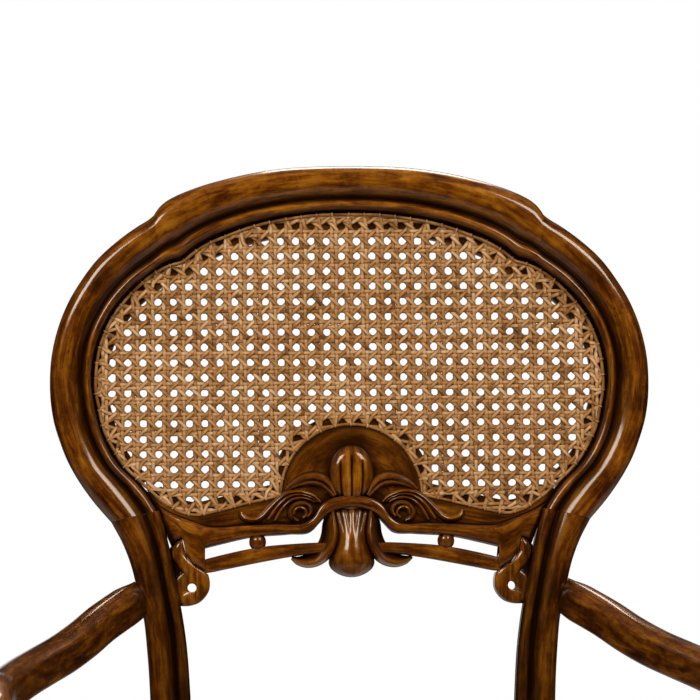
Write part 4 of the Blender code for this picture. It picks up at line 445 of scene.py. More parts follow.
# The stiles are painted darker between the seat and the waist, as shade where little light falls
above_seat = np.clip((leg_outer[:, 2] - 0.44) / 0.06, 0, 1)
below_waist = np.clip((0.745 - leg_outer[:, 2]) / 0.05, 0, 1)
lower_stile_shade = STILE_PAINTED_SHADE * (above_seat * below_waist)[:, None]
leg_glaze_and_shade = np.clip(leg_profile[..., 2] + lower_stile_shade, 0, 1)
make_pair("rear_leg", [(leg_points, leg_glaze_and_shade)], walnut)


# Cane panel: split rattan in the six-way weave on half inch holes. Pairs of uprights and of
# cross strands are woven plain, then single strands run both ways on the slant; all ends go
# down holes in the ledge, which a binder covers, held by small loops.

BINDER_LINE = ((0, 362.2), (24.7, 361.7), (49.8, 358.6), (77.4, 352.9), (101.5, 344.4), (119.5, 336.5),
               (130.4, 329.4), (137.6, 323.6), (140.8, 322), (145.4, 321), (154.4, 317.4), (181.2, 296.4),
               (198.4, 273.2), (206.9, 252), (210.4, 229.7), (210.5, 215.8), (208.1, 203.3), (203.2, 182.4),
               (197.2, 170.1), (188.4, 155.8), (171.9, 138.9), (152.5, 122.6), (140.4, 115.4), (129.3, 113),
               (114.5, 115.4), (90.5, 121.3), (73.7, 125.1), (58.9, 128.7))
ARCH_RADIUS = 58.5
ARCH_FOOT = 128.7
HOLE_SPACING = 13.1
PITCH = 12.7
ROW_PITCH = 12.62
FIRST_ROW = 138
PAIR_SPACING = 3.36
STRAND_WIDTH = 3.46
SLANT_WIDTH = 3.2
STRAND_THICKNESS = 0.7
WEAVE_LIFT = 0.32
SLANT_LIFT = 0.78
CANE_LEVEL = -0.55
# Length over which a strand's end bends to its hole, and over which it lies down there
FAN = 11
SETTLING = 7
# Each strand's own sway and shift in mm, and its rise over its neighbours
SWAY = 0.28
SWAY_LENGTH = 15
WANDER = 0.16
OWN_RISE = 0.06
SHORTEST = 5
# Across and height as shares of a strand's width and thickness, and the dirt and painted shade there: most
# in the crevices along its edges, none on its pale inner face behind
STRAND_SECTION = np.array(((-0.5, -0.4), (-0.42, 0.14), (-0.27, 0.42), (0, 0.5), (0.27, 0.42), (0.42, 0.14),
                           (0.5, -0.4), (0, -0.42)))
STRAND_DIRT_AND_SHADE = np.array((0.7, 0.8, 0.1, 0, 0.1, 0.8, 0.7, -0.25))
# Half width and height of the binder's section, drawn in at its loops
BINDER_SECTION = np.array(((-1, -1.2), (-0.86, 0.1), (-0.45, 0.62), (0, 0.75), (0.45, 0.62), (0.86, 0.1),
                           (1, -1.2)))
BINDER_HALF = 1.35
BINDER_LEVEL = 0.75
LOOP_SECTION = np.array(((-0.6, 0), (-0.35, 0.34), (0.35, 0.34), (0.6, 0), (0, -0.3)))
LOOP_HALF_SPAN = 1.7
LOOP_RISE = 2.1
LOOP_FOOT = 1.3


def split_cane(name):
    """Split rattan with its glazed bark, darkened with age, with dirt and painted shade in its crevices.

    Honey brown with a satin shine, each strand a little different, and fine fibres
    0.15 mm wide drawn 0.4 mm, so that they show.
    """
    material, tree, shader = new_material(name)
    grain = add(tree, "ShaderNodeUVMap", {"uv_map": "grain"}).outputs["UV"]
    place = add(tree, "ShaderNodeTexCoord").outputs["Object"]
    tone = add(tree, "ShaderNodeAttribute", {"attribute_name": "tone"}).outputs["Fac"]
    dirt_and_shade = add(tree, "ShaderNodeAttribute", {"attribute_name": "glaze"}).outputs["Fac"]
    apart = add(tree, "ShaderNodeCombineXYZ", Z=tone)
    lane = add(tree, "ShaderNodeVectorMath", {"operation": "ADD"}, _0=grain, _1=apart.outputs[0]).outputs[0]
    fibre_map = add(tree, "ShaderNodeMapping", {"Scale": (60, 2400, 40)}, Vector=lane).outputs["Vector"]
    fibres = add(tree, "ShaderNodeTexNoise", {"Scale": 1, "Detail": 3, "Roughness": 0.6},
                 Vector=fibre_map).outputs["Fac"]
    stretch_map = add(tree, "ShaderNodeMapping", {"Scale": (85, 85, 40)}, Vector=lane).outputs["Vector"]
    stretch = add(tree, "ShaderNodeTexNoise", {"Scale": 1, "Detail": 2, "Roughness": 0.5},
                  Vector=stretch_map).outputs["Fac"]
    clouds = add(tree, "ShaderNodeTexNoise", {"Scale": 22, "Detail": 3}, Vector=place).outputs["Fac"]
    shade = add(tree, "ShaderNodeMath", {"operation": "MULTIPLY_ADD"}, _0=tone, _1=0.4, _2=-0.44)
    shade = add(tree, "ShaderNodeMath", {"operation": "ADD"}, _0=stretch, _1=shade.outputs[0])
    for part, weight in ((fibres, 0.5), (clouds, 0.3)):
        shade = add(tree, "ShaderNodeMath", {"operation": "MULTIPLY_ADD"}, _0=part, _1=weight,
                    _2=shade.outputs[0])
    bark = add(tree, "ShaderNodeValToRGB",
               {"stops": ((0.24, "#653a12"), (0.42, "#99662f"), (0.58, "#bc884c"), (0.76, "#cf9c66"),
                          (0.95, "#e6be90"))}, Fac=shade.outputs[0]).outputs["Color"]
    # Dirt and painted shade lie as near black #1f0f05 along the strands' edges and where they pass under
    # others
    colour = add(tree, "ShaderNodeMix", {"data_type": "RGBA"}, _0=dirt_and_shade, _6=bark, _7=linear("#1f0f05"))
    tree.links.new(colour.outputs[2], shader.inputs["Base Color"])
    bump = add(tree, "ShaderNodeBump", {"Strength": 0.25, "Distance": 0.0003}, Height=fibres)
    tree.links.new(bump.outputs["Normal"], shader.inputs["Normal"])
    shader.inputs["Roughness"].default_value = 0.42
    shader.inputs["Specular IOR Level"].default_value = 0.35
    return material


def square_to(slopes):
    """Ways of length one to the left of flat slopes."""
    return np.column_stack((-slopes[:, 1], slopes[:, 0])) / np.linalg.norm(slopes, axis=1, keepdims=True)


def runs_inside(outline, origin, way):
    """Where a straight line runs inside a closed outline, as pairs of distances along it."""
    square = np.array((-way[1], way[0]))
    here = (outline - origin) @ square
    there = np.roll(here, -1)
    met = (here > 0) != (there > 0)
    share = here[met] / (here[met] - there[met])
    crossing = outline[met] + (np.roll(outline, -1, axis=0)[met] - outline[met]) * share[:, None]
    return np.sort((crossing - origin) @ way).reshape(-1, 2)


def strand(origin, way, low, high, width, step, lift, tone):
    """A ribbon along origin + s way, from s low to high, at the height lift(x, v) above the panel.

    It sways by a sin(s / l + p), with p from its tone, and its ends bend to the nearest hole.
    """
    s = np.linspace(low, high, max(int((high - low) / step), 5))
    sway = SWAY * np.sin(s / SWAY_LENGTH + tone * 50)
    flat = origin + way * s[:, None] + np.array((-way[1], way[0])) * sway[:, None]
    reach = min(FAN, (high - low) / 2)
    for end in (0, -1):
        hole = holes[np.argmin(np.linalg.norm(holes - flat[end], axis=1))]
        pull = np.clip(1 - np.abs(s - s[end]) / reach, 0, 1)[:, None]
        flat = flat + (hole - flat[end]) * pull
    clear = np.clip(np.minimum(s - low, high - s) / SETTLING, 0, 1)
    height = lift(flat[:, 0], flat[:, 1]) * clear + tone * OWN_RISE
    aside = square_to(np.gradient(flat, axis=0))
    across, up = STRAND_SECTION.T
    places = flat[:, None] + aside[:, None] * across[None, :, None] * width
    n = CANE_LEVEL + height[:, None] + up[None] * STRAND_THICKNESS
    # Dirt and painted shade: darker where the strand dips under its neighbours, and in the crevices along
    # its edges
    dirt_and_shade = np.clip(np.clip(0.22 - height * 0.8, 0, 0.9)[:, None] + STRAND_DIRT_AND_SHADE[None], 0, 2)
    return shell(in_back(places[..., 0], places[..., 1], n), dirt_and_shade, tone=tone)


def weave(kind, origins, way, width, step, lifts):
    """One object with all the strands that run one way."""
    way = np.array(way, float) / np.linalg.norm(way)
    shells = []
    for origin, lift in zip(origins, lifts):
        start = np.array(origin) + chance.normal(0, WANDER, 2)
        for low, high in runs_inside(binder_loop, start, way):
            if high - low > SHORTEST:
                shells.append(strand(start, way, low, high, width, step, lift, chance.uniform(0, 1)))
    return make_piece(f"cane_{kind}", shells, cane, sharp=60)


chance = np.random.default_rng(12)
cane = split_cane("split_rattan_cane")
turning = np.linspace(0, math.pi / 2, 60)[1:]
arch_line = ARCH_RADIUS * np.column_stack((np.cos(turning), np.sin(turning))) + (0, ARCH_FOOT)
binder_half = np.concatenate((through(BINDER_LINE, 300), arch_line))
binder_loop = with_mirror(binder_half)[:-1]
binder_loop = spread(np.concatenate((binder_loop, binder_loop[:1])), 1101)[:-1]
loop_length = np.sum(np.linalg.norm(np.roll(binder_loop, -1, axis=0) - binder_loop, axis=1))
hole_count = int(round(loop_length / HOLE_SPACING))
hole_places = np.arange(hole_count) * len(binder_loop) / hole_count
holes = np.column_stack([np.interp(hole_places, np.arange(len(binder_loop)), column)
                         for column in binder_loop.T])


def mid_offset(place, first, pitch):
    """Distance to the nearest line half way between two rows of openings."""
    row = (place - first) / pitch
    return (row - np.floor(row) - 0.5) * pitch


def upright_lift(sign):
    """Over one cross strand of a pair and under the other: a sine over the crossing, flat beside it."""
    return lambda x, v: sign * WEAVE_LIFT * np.sin(math.pi * np.clip(
        mid_offset(v, FIRST_ROW, ROW_PITCH) / PAIR_SPACING, -1, 1))


def cross_lift(sign):
    """The same for the cross strands, over the upright that goes under them."""
    return lambda x, v: sign * WEAVE_LIFT * np.sin(math.pi * np.clip(
        mid_offset(x, PITCH / 2, PITCH) / PAIR_SPACING, -1, 1))


def slant_lift(sign):
    """A cosine with one wave for each pitch across: over one kind of pair, under the other."""
    return lambda x, v: sign * SLANT_LIFT * np.cos(2 * math.pi * (x / PITCH - 0.5))


columns = np.arange(-17, 18) * PITCH
rows = FIRST_ROW + (np.arange(-3, 19) + 0.5) * ROW_PITCH
slant_rows = FIRST_ROW + (np.arange(-24, 40) + 0.5) * ROW_PITCH
uprights = [(x + half * PAIR_SPACING / 2, 0) for x in columns for half in (-1, 1)]
crossings = [(0, v + half * PAIR_SPACING / 2) for v in rows for half in (-1, 1)]
slants = [(PITCH / 2, v) for v in slant_rows]
for kind, origins, way, width, step, lifts in (
        ("uprights", uprights, (0, 1), STRAND_WIDTH, 1.15, (upright_lift(1), upright_lift(-1))),
        ("cross_strands", crossings, (1, 0), STRAND_WIDTH, 1.15, (cross_lift(-1), cross_lift(1))),
        ("rising_slants", slants, (PITCH, ROW_PITCH), SLANT_WIDTH, 1.5, (slant_lift(1),) * 2),
        ("falling_slants", slants, (PITCH, -ROW_PITCH), SLANT_WIDTH, 1.5, (slant_lift(-1),) * 2)):
    strands = weave(kind, origins, way, width, step, lifts * (len(origins) // 2))
    settle(strands, "cane", "cane_panel")


def binder_strip():
    """The binder: its section carried round the loop, drawn in where the loops cross it."""
    from_hole = np.abs((np.arange(len(binder_loop)) * hole_count / len(binder_loop) + 0.5) % 1 - 0.5) * 2
    swell = (0.62 + 0.38 * np.clip(from_hole * 3, 0, 1))[:, None]
    across, rise = BINDER_SECTION.T
    flat = binder_loop[:, None] + loop_side[:, None] * (across * BINDER_HALF * swell)[..., None]
    level = BINDER_LEVEL + rise * (0.5 + 0.5 * swell)
    # Painted shade darkens the binder where the loops cross it and draw it in
    return shell(in_back(flat[..., 0], flat[..., 1], level), 0.28 + (1 - swell) * 0.9, loop=True, tone=0.1)


def binder_tie(k):
    """A loop over the binder at a place on it: a half circle w sin b across and h cos b up."""
    bend = np.linspace(-1, 1, 9)[:, None] * math.pi / 2
    along, thick = LOOP_SECTION.T
    aside = np.sin(bend) * (LOOP_HALF_SPAN + thick)
    flat = binder_loop[k] + loop_side[k] * aside[..., None] + loop_slope[k] * along[None, :, None]
    level = BINDER_LEVEL - LOOP_FOOT + np.cos(bend) * (LOOP_RISE + thick)
    return shell(in_back(flat[..., 0], flat[..., 1], level), 0.12, tone=chance.uniform(0.2, 0.9))


loop_slope = np.roll(binder_loop, -1, axis=0) - np.roll(binder_loop, 1, axis=0)
loop_slope /= np.linalg.norm(loop_slope, axis=1, keepdims=True)
loop_side = square_to(loop_slope)
ties = [binder_tie(int(place)) for place in hole_places]
binder = make_piece("cane_binder", [binder_strip()] + ties, cane, sharp=60)
settle(binder, "cane", "cane_binder")


# Lower back rail: one plank with the cane's ledge, a sunk field round the carving and a
# raised band along its foot that arches over the pendant and joins the stiles.
# Sawn to shape, the ground cut back with gouges and left darker than the raised work, with glaze and painted
# shade in its hollows.

BAND_TOP = ((0, 128.1), (8, 127.6), (15.9, 125.8), (24.8, 120.8), (32.1, 110.1), (36.4, 106.9),
            (63.9, 104.8), (89.3, 103.8), (108.4, 102.7), (116.2, 102.9), (129.5, 106.9), (155, 117.4),
            (161, 121))
BAND_FOOT = ((0, 118.2), (10.2, 116.9), (19.7, 112.5), (26.7, 105.5), (33.7, 98.5), (51.5, 96.6),
             (83, 94.2), (105.5, 89.4), (124.3, 84.8))
SLOT_END = ((124.3, 84.8), (121.2, 76.4))
EAR_EDGE = ((121.1, 65.6), (124.3, 67.6), (131.3, 72), (136.6, 79.6), (138.2, 90), (139.6, 93.2),
            (144.7, 91.6), (148.9, 87.6))
FIELD = 2
# Share of the way within a strip, height, glaze and painted shade: the ledge, the sunk field, the band and
# its edge
FIELD_PROFILE = ((0, 1.2, 1), (0.012, 1.9, 0.8), (0.05, 2, 0.45), (0.3, 2, 0.25), (0.6, 2, 0.3),
                 (0.82, 1.8, 0.5), (0.94, 1.3, 0.9), (1, 1.2, 1))
BAND_PROFILE = ((0, 5, 0.7), (0.03, 6.9, 0.25), (0.08, 7.8, 0), (0.16, 8.3, 0), (0.32, 8.55, 0.1),
                (0.5, 8.6, 0.15), (0.68, 8.45, 0.15), (0.82, 8.1, 0.15), (0.91, 7.2, 0.25),
                (0.965, 5.9, 0.4), (0.99, 4, 0.6), (1, 1.5, 0.7), (1, -12.6, 0.6), (0.98, -13.7, 0.5),
                (0.94, -14, 0.4))
# How far along each line its corners come, and where they are across on each:
# centre, arch foot, slot corner, tab, tab foot, ear tip, stile
STOPS = (0, 0.32, 0.62, 0.66, 0.71, 0.90, 1)
TIP_ACROSS = (0, 67.3, 122, 126, 131, 148, 157)
EDGE_ACROSS = (0, 59.2, 126, 130, 136, 155, 168.3)
TOP_ACROSS = (0, 52, 116, 121, 126, 150, 161.5)
FOOT_ACROSS = (0, 49, 124.3)
ARCH_INSET = 1.5
TIP_RADIUS = 68
TIP_ABOVE = 11
STILE_MEETING = 132
# Depth of the shadow painted round the palmette's foot, and how soon it fades
PALMETTE_SHADE = 0.95
PALMETTE_FADE = 3.5


def by_x(table, x):
    """Height of a smooth line of the back at places across."""
    line = through(table, 400)
    return np.interp(x, line[:, 0], line[:, 1])


def rail_lines(s):
    """Four lines from centre to stile: ledge tip, binder's edge, band's top and foot."""
    cane_foot = through(BINDER_LINE[-8:], 300)[::-1]
    arch = s < STOPS[1]
    share = np.clip(s / STOPS[1], 0, 1)
    edge_x, edge_v = arch_then(cane_foot, share * math.radians(88), arch, ARCH_RADIUS - ARCH_INSET,
                               np.interp(s, STOPS, EDGE_ACROSS), -ARCH_INSET)
    edge_v[-1] = STILE_MEETING
    tip_x, tip_v = arch_then(cane_foot, share * math.radians(82), arch, TIP_RADIUS,
                             np.interp(s, STOPS, TIP_ACROSS), TIP_ABOVE)
    top_x = np.interp(s, STOPS, TOP_ACROSS)
    foot_x = np.interp(s, STOPS[:3], FOOT_ACROSS)
    corners = np.array(SLOT_END + EAR_EDGE)
    stops = (STOPS[2], STOPS[3], *ear_stops)
    foot_v = np.where(s > STOPS[2], np.interp(s, stops, corners[:, 1]), by_x(BAND_FOOT, foot_x))
    foot_x = np.where(s > STOPS[2], np.interp(s, stops, corners[:, 0]), foot_x)
    pairs = ((tip_x, tip_v), (edge_x, edge_v), (top_x, by_x(BAND_TOP, top_x)), (foot_x, foot_v))
    return [np.column_stack(pair) for pair in pairs]


def arch_then(line, angle, arch, radius, x, above):
    """Places on an arch, r sin a across and r cos a up, and past it on a line, raised by a height."""
    x = np.where(arch, radius * np.sin(angle), x)
    past_arch = np.interp(x, line[:, 0], line[:, 1]) + above
    return x, np.where(arch, ARCH_FOOT + radius * np.cos(angle), past_arch)


def rail_surface():
    """Right half of the rail: its ledge, field and band across, at each place along its lines."""
    tip, edge, top, foot = rail_lines(rail_way)
    field_share, field_n, field_glaze_and_shade = np.array(FIELD_PROFILE).T
    band_share, band_n, band_glaze_and_shade = np.array(BAND_PROFILE).T
    ledge = np.stack((tip, tip, edge), axis=1)
    field = edge[:, None] + (top - edge)[:, None] * field_share[None, :, None]
    band = top[:, None] + (foot - top)[:, None] * band_share[None, :, None]
    flat = np.concatenate((ledge, field, band, tip[:, None]), axis=1)
    n = np.concatenate(((-13.4, -2, -2), field_n, band_n, (-HALF_DEPTH,)))
    glaze = np.concatenate(((0.7, 0.6, 0.8), field_glaze_and_shade, band_glaze_and_shade, (0.4,)))
    to_stile = (1 - rail_way)[:, None]
    n = np.where(n > 0, n[None] * (0.25 + 0.75 * np.clip(to_stile / 0.035, 0, 1)), n[None])
    # Painted shade: the rail darkens over its last stretch towards the stile, where the two meet
    return flat, n, np.maximum(glaze[None], 1 - np.clip(to_stile / 0.07, 0, 1))


ear_stops = np.linspace(STOPS[4], 1, len(EAR_EDGE))
rail_way = np.unique(np.concatenate((np.linspace(0, 1, 260), STOPS, ear_stops)))
half_flat, half_n, half_glaze_and_shade = rail_surface()
rail_flat = np.concatenate(((half_flat * (-1, 1))[:0:-1], half_flat))
rail_n = np.concatenate((half_n[:0:-1], half_n))
rail_glaze_and_shade = np.concatenate((half_glaze_and_shade[:0:-1], half_glaze_and_shade))
# A shadow painted on the sunk field round the palmette's foot, fading away from it
from_palmette = np.hypot(rail_flat[..., 0] / 19, (rail_flat[..., 1] - 146) / 24) - 1
shade = PALMETTE_SHADE * np.exp(-np.clip(from_palmette, 0, 9) * PALMETTE_FADE)
rail_glaze_and_shade = np.maximum(rail_glaze_and_shade, np.where(rail_n < 3, shade, 0))
rail_points = in_back(rail_flat[..., 0], rail_flat[..., 1], rail_n)
rail = make_piece("lower_back_rail", [shell(rail_points, rail_glaze_and_shade)], walnut, sharp=40)
settle(rail, "dark_walnut", "lower_back_rail")


# Lower bars and beads: slender bars under the rail, each held off it by one turned bead.
# The bars are shaped with a spokeshave and set between the pendant and the rail's tabs; the
# beads are turned with a short collar at each end and sit in hollows.

BAR_TOP = ((20, 89.6), (34.9, 89.3), (51.5, 88.4), (68.1, 87.1), (84.7, 84.7), (101.3, 81.3), (117.9, 77.3),
           (122, 76.2))
BAR_FOOT = ((20, 80.6), (34.9, 79.9), (50.6, 77.9), (68, 75), (84, 72), (104.6, 68), (118.6, 65.4),
            (122, 65.2))
# Share of the height, out, glaze and painted shade
BAR_SECTION = ((0.06, -5.5, 0.5), (0, -4.6, 0.5), (0, 3.6, 0.6), (0.04, 4.8, 0.3), (0.14, 5.5, 0.1),
               (0.5, 5.7, 0.15), (0.86, 5.5, 0.1), (0.96, 4.8, 0.15), (1, 3.6, 0.4), (1, -4.6, 0.5),
               (0.94, -5.5, 0.5))
# Radius, height
BEAD_PROFILE = ((0, -7.6), (4.2, -7.6), (4.4, -6.2), (4.9, -5.3), (6.3, -3.4), (7, 0), (6.3, 3.4),
                (4.9, 5.3), (4.4, 6.2), (4.2, 7.6), (0, 7.6))
BEAD_ACROSS = 77.8
BEAD_MIDDLE = 90.4
BEAD_FORWARD = 1

bar_section = np.array(BAR_SECTION)
bar_x = np.linspace(BAR_TOP[0][0], BAR_TOP[-1][0], 60)
bar_foot, bar_top = by_x(BAR_FOOT, bar_x), by_x(BAR_TOP, bar_x)
bar_v = bar_foot[:, None] + (bar_top - bar_foot)[:, None] * bar_section[None, :, 0]
bar_points = in_back(bar_x[:, None], bar_v, bar_section[None, :, 1])
bead_radius, bead_rise = through(BEAD_PROFILE, 40)[1:-1].T[..., None]
bead_turn = np.linspace(0, 2 * math.pi, 41)[:-1]
bead_points = in_back(BEAD_ACROSS + bead_radius * np.cos(bead_turn), BEAD_MIDDLE + bead_rise,
                      BEAD_FORWARD + bead_radius * np.sin(bead_turn))
# Glaze and painted shade at the bead's collars, where it sits in its hollows
bead_glaze_and_shade = np.clip((np.abs(bead_rise) - 3.5) / 3, 0, 1)
make_pair("lower_bar", [(bar_points, bar_section[None, :, 2])], walnut, sharp=40)
make_pair("bead", [(bead_points, bead_glaze_and_shade)], walnut)


# Scroll ears: a pierced scroll in the corner of rail and stile on each side. The eye is
# bored through, and a broad S, nearly flat on top, is carved from the tip down past it,
# with the wood beside it cut back.

EYE = np.array((132, 53.2))
EYE_RADIUS = 3.7
EAR_LOBE = ((118.6, 64), (117.4, 57.9), (118, 51.1), (121.3, 45.2), (126.6, 40.7), (133.4, 38.5),
            (141.6, 38.3))
EAR_STILE = ((142.6, 38.3), (144.9, 52.8), (147.4, 68), (149.6, 82), (150.2, 86))
EAR_BASE = 1.2
EAR_BACK = -11
EAR_EDGE_ROUND = 1.2
EYE_ROUND = 1
# Centre line of the raised S, its half width and its height; and of a low boss round the eye
EAR_SCROLL = ((139.5, 92.6, 0.7, 5.5), (140.6, 90.3, 2.8, 6.6), (142.6, 86, 4.8, 7.4),
              (142.6, 80.5, 5.6, 7.6), (138.8, 74.3, 6, 7.6), (133.2, 69, 6.8, 7.5), (128, 64, 8.2, 7.4),
              (125.6, 58, 9.4, 7.2), (126, 51.6, 9.6, 6.8), (129, 46.4, 8.8, 6.2), (134.4, 44.2, 7.6, 5))
EAR_BOSS = ((131.6, 56, 13, 2.6), (134, 53, 13.5, 2.8), (135, 50, 13, 2.6))


def raised(places, strokes, base, power):
    """Height of carved strokes at places: the highest base + h (1 - (d/w)^2)^power, d off its line."""
    height = np.full(places.shape[:-1], float(base))
    for table in strokes:
        line = through(np.array(table), 160)
        gap = np.linalg.norm(places[..., None, :] - line[:, :2], axis=-1) / line[:, 2]
        lift = line[:, 3] * np.clip(1 - gap * gap, 0, 1) ** power
        height = np.maximum(height, base + lift.max(axis=-1))
    return height


def to_outline(centre, angles, outline):
    """Distance from a centre to a closed outline along each angle."""
    way = np.column_stack((np.cos(angles), np.sin(angles)))
    here = outline - centre
    step = np.roll(here, -1, axis=0) - here
    cross = way[:, None, 0] * step[None, :, 1] - way[:, None, 1] * step[None, :, 0]
    reach = (here[None, :, 0] * step[None, :, 1] - here[None, :, 1] * step[None, :, 0]) / cross
    place = (here[None, :, 0] * way[:, None, 1] - here[None, :, 1] * way[:, None, 0]) / cross
    hit = (place >= 0) & (place <= 1) & (reach > 0)
    return np.where(hit, reach, np.inf).min(axis=1)


def rounded_over(distance, radius):
    """Drop of a rounded edge at a distance in from it: r (1 - sqrt(1 - (1 - d/r)^2))."""
    share = np.clip(distance / radius, 0, 1)
    return radius * (1 - np.sqrt(1 - (1 - share) ** 2))


def ear_surface():
    """Rings from the eye out to the outline: the eye's wall, the carved face, the edge and its foot."""
    outline = np.concatenate((through(EAR_EDGE[:6], 60), EAR_EDGE[6:], EAR_STILE[::-1],
                              through(EAR_LOBE[::-1], 60)[1:]))
    angles = np.linspace(0, 2 * math.pi, 321)[:-1]
    edge = to_outline(EYE, angles, outline)[None]
    shares = np.concatenate((np.linspace(0, 1, 46), (1, 1, 0.985)))[:, None]
    reach = EYE_RADIUS + (edge - EYE_RADIUS) * shares
    flat = EYE + np.stack((np.cos(angles), np.sin(angles)), axis=-1)[None] * reach[..., None]
    n = raised(flat, (EAR_SCROLL, EAR_BOSS), EAR_BASE, power=0.3)
    n -= rounded_over(edge - reach, EAR_EDGE_ROUND) + rounded_over(reach - EYE_RADIUS, EYE_ROUND)
    n[-2], n[-1] = EAR_BACK + 0.8, EAR_BACK
    flat = np.concatenate((flat[:1], flat))
    n = np.concatenate((np.full((1, len(angles)), EAR_BACK + 0.01), n))
    # Glaze and painted shade: darker the lower the wood is cut, and on the back
    glaze = np.clip(1 - (n - EAR_BASE) / 4.5, 0.08, 1) * np.where(n < -2, 0.6, 1)
    return in_back(flat[..., 0], flat[..., 1], n), glaze


make_pair("scroll_ear", [ear_surface()], walnut, loop=True, upright=True)


# Pendant: a fluted drop under the band's arch, with a leaf curled out on each side.
# Carved from one block; fine flutes fan out at its neck and run out on the round bulb.

# Height in the back, half width, and how far out it stands
BULB = ((117.5, 19.5, 3.6), (114, 19, 5.2), (108, 16.8, 7), (100, 14.2, 9.2), (94, 13.6, 10.8),
        (88, 14.8, 12), (82, 16.8, 13), (77, 18.5, 13.4), (73, 19, 13), (69, 17.6, 11.8),
        (65.5, 14, 9.8), (63, 9.6, 7), (61.6, 5.4, 4.2), (61, 2, 1.6))
BULB_BACK = -8
FLUTES = 9
FLUTE_DEPTH = 1.5
# Height at which the flutes begin to sink in, and over how much they reach their depth
FLUTE_FOOT = 95
FLUTE_RUN_OUT = 14
# Centre line of a leaf curl, its half width and its height
CURL = ((17.5, 116, 3.4, 7.5), (17.8, 111, 4.6, 10), (18, 104, 6.2, 12), (18.1, 97, 6.9, 13),
        (19.8, 89.6, 7.4, 13.4), (23.6, 82.4, 7.8, 13.2), (29.6, 77.2, 7.2, 12), (36.6, 74.6, 5.8, 10.4),
        (43.6, 74.8, 3.9, 8.4), (49.8, 77.2, 1.2, 5.4))
CURL_RIDGE = 0.42
CURL_BASE = -1
CURL_EXTRA_GLAZE = 0.15
CURL_EXTRA_DEPTH = 4.6
# How far a carved rib's back lies under its base
RIB_BACK = 2.2


def half_drop(table, back, steps):
    """Rows of a drop: across w cos u, out d (sin u)^0.8, less the flutes, and flat behind."""
    rise, wide, out = through(table, steps).T[..., None]
    u = np.linspace(0, math.pi, 121)
    groove = np.clip((rise - FLUTE_FOOT) / FLUTE_RUN_OUT, 0, 1) * (1 - np.abs(np.sin(u * FLUTES)) ** 0.6)
    deep = (out - back) * np.sin(u) ** 0.8 - groove * FLUTE_DEPTH * np.sin(u)
    # Glaze and painted shade: in the flutes, and darker towards the sides where the drop turns away
    glaze = groove + 0.12 + 0.6 * (1 - np.sin(u)) ** 0.6
    return in_back(wide * np.cos(u), rise, back + deep), np.clip(glaze, 0, 1)


def ridge(table, base, crest, steps):
    """A carved rib along a line: from its far edge it climbs to a crest at a share, then drops round.

    Out of the plane it is base + h ((a+1)/(c+1))^1.4 before the crest c, and
    base + h (1 - ((a-c)/(1-c))^2)^0.6 after it, with a from -1 to 1 across.
    """
    table = through(table, steps)
    flat, half, high = table[:, :2], table[:, 2], table[:, 3]
    aside = -square_to(np.gradient(flat, axis=0))
    drop = crest + (1 - crest) * np.sin(np.linspace(0, 1, 12) * math.pi / 2)
    a = np.concatenate((np.linspace(-1, crest, 13)[:-1], drop))
    climb = np.where(a < crest, np.clip((a + 1) / (crest + 1), 0, 1) ** 1.4,
                     np.clip(1 - ((a - crest) / (1 - crest)) ** 2, 0, 1) ** 0.6)
    places = flat[:, None] + aside[:, None] * a[None, :, None] * half[:, None, None]
    places = np.concatenate((places, places[:, -1:], places[:, :1]), axis=1)
    n = np.concatenate((base + high[:, None] * climb[None], np.full((steps, 2), base - RIB_BACK)), axis=1)
    # Glaze and painted shade: none on the crest, darker down the flanks to the foot, and on the back
    glaze = np.concatenate((np.clip(1.05 - climb * 1.35, 0, 1), (0.8, 0.8)))
    return in_back(places[..., 0], places[..., 1], n), np.broadcast_to(glaze, n.shape)


bulb_points, bulb_glaze_and_shade = half_drop(BULB, BULB_BACK, 90)
curl_points, curl_glaze_and_shade = ridge(CURL, CURL_BASE, CURL_RIDGE, steps=90)
curl_points[:, -2:] += np.array((0, math.cos(BACK_LEAN), -math.sin(BACK_LEAN))) * CURL_EXTRA_DEPTH * MM
curl_glaze_and_shade = np.clip(curl_glaze_and_shade + CURL_EXTRA_GLAZE, 0, 1)
pendant_shells = [shell(bulb_points, bulb_glaze_and_shade)]
pendant_shells += [shell(curl_points * (side, 1, 1), curl_glaze_and_shade) for _, side in SIDES]
pendant = make_piece("pendant", pendant_shells, rubbed, sharp=60)
settle(pendant, "dark_walnut", "pendant")


# Palmette: an oval boss with three upright flutes, in the middle of the arched field.
# Carved from the solid with a V tool, in the paler rubbed finish, with glaze and painted shade in its flutes
# and round its foot.

PALMETTE_MIDDLE = 146.4
PALMETTE_HALF = (18.4, 23.0)
PALMETTE_RISE = 9.4
PALMETTE_FOOT = 1.5
# Across place of each flute and the share of the half height where it ends
PALMETTE_FLUTES = ((-9.2, 0.46), (0, 0.66), (9.2, 0.46))
PALMETTE_FLUTE_WIDTH = 0.85
PALMETTE_FLUTE_DEPTH = 1.9


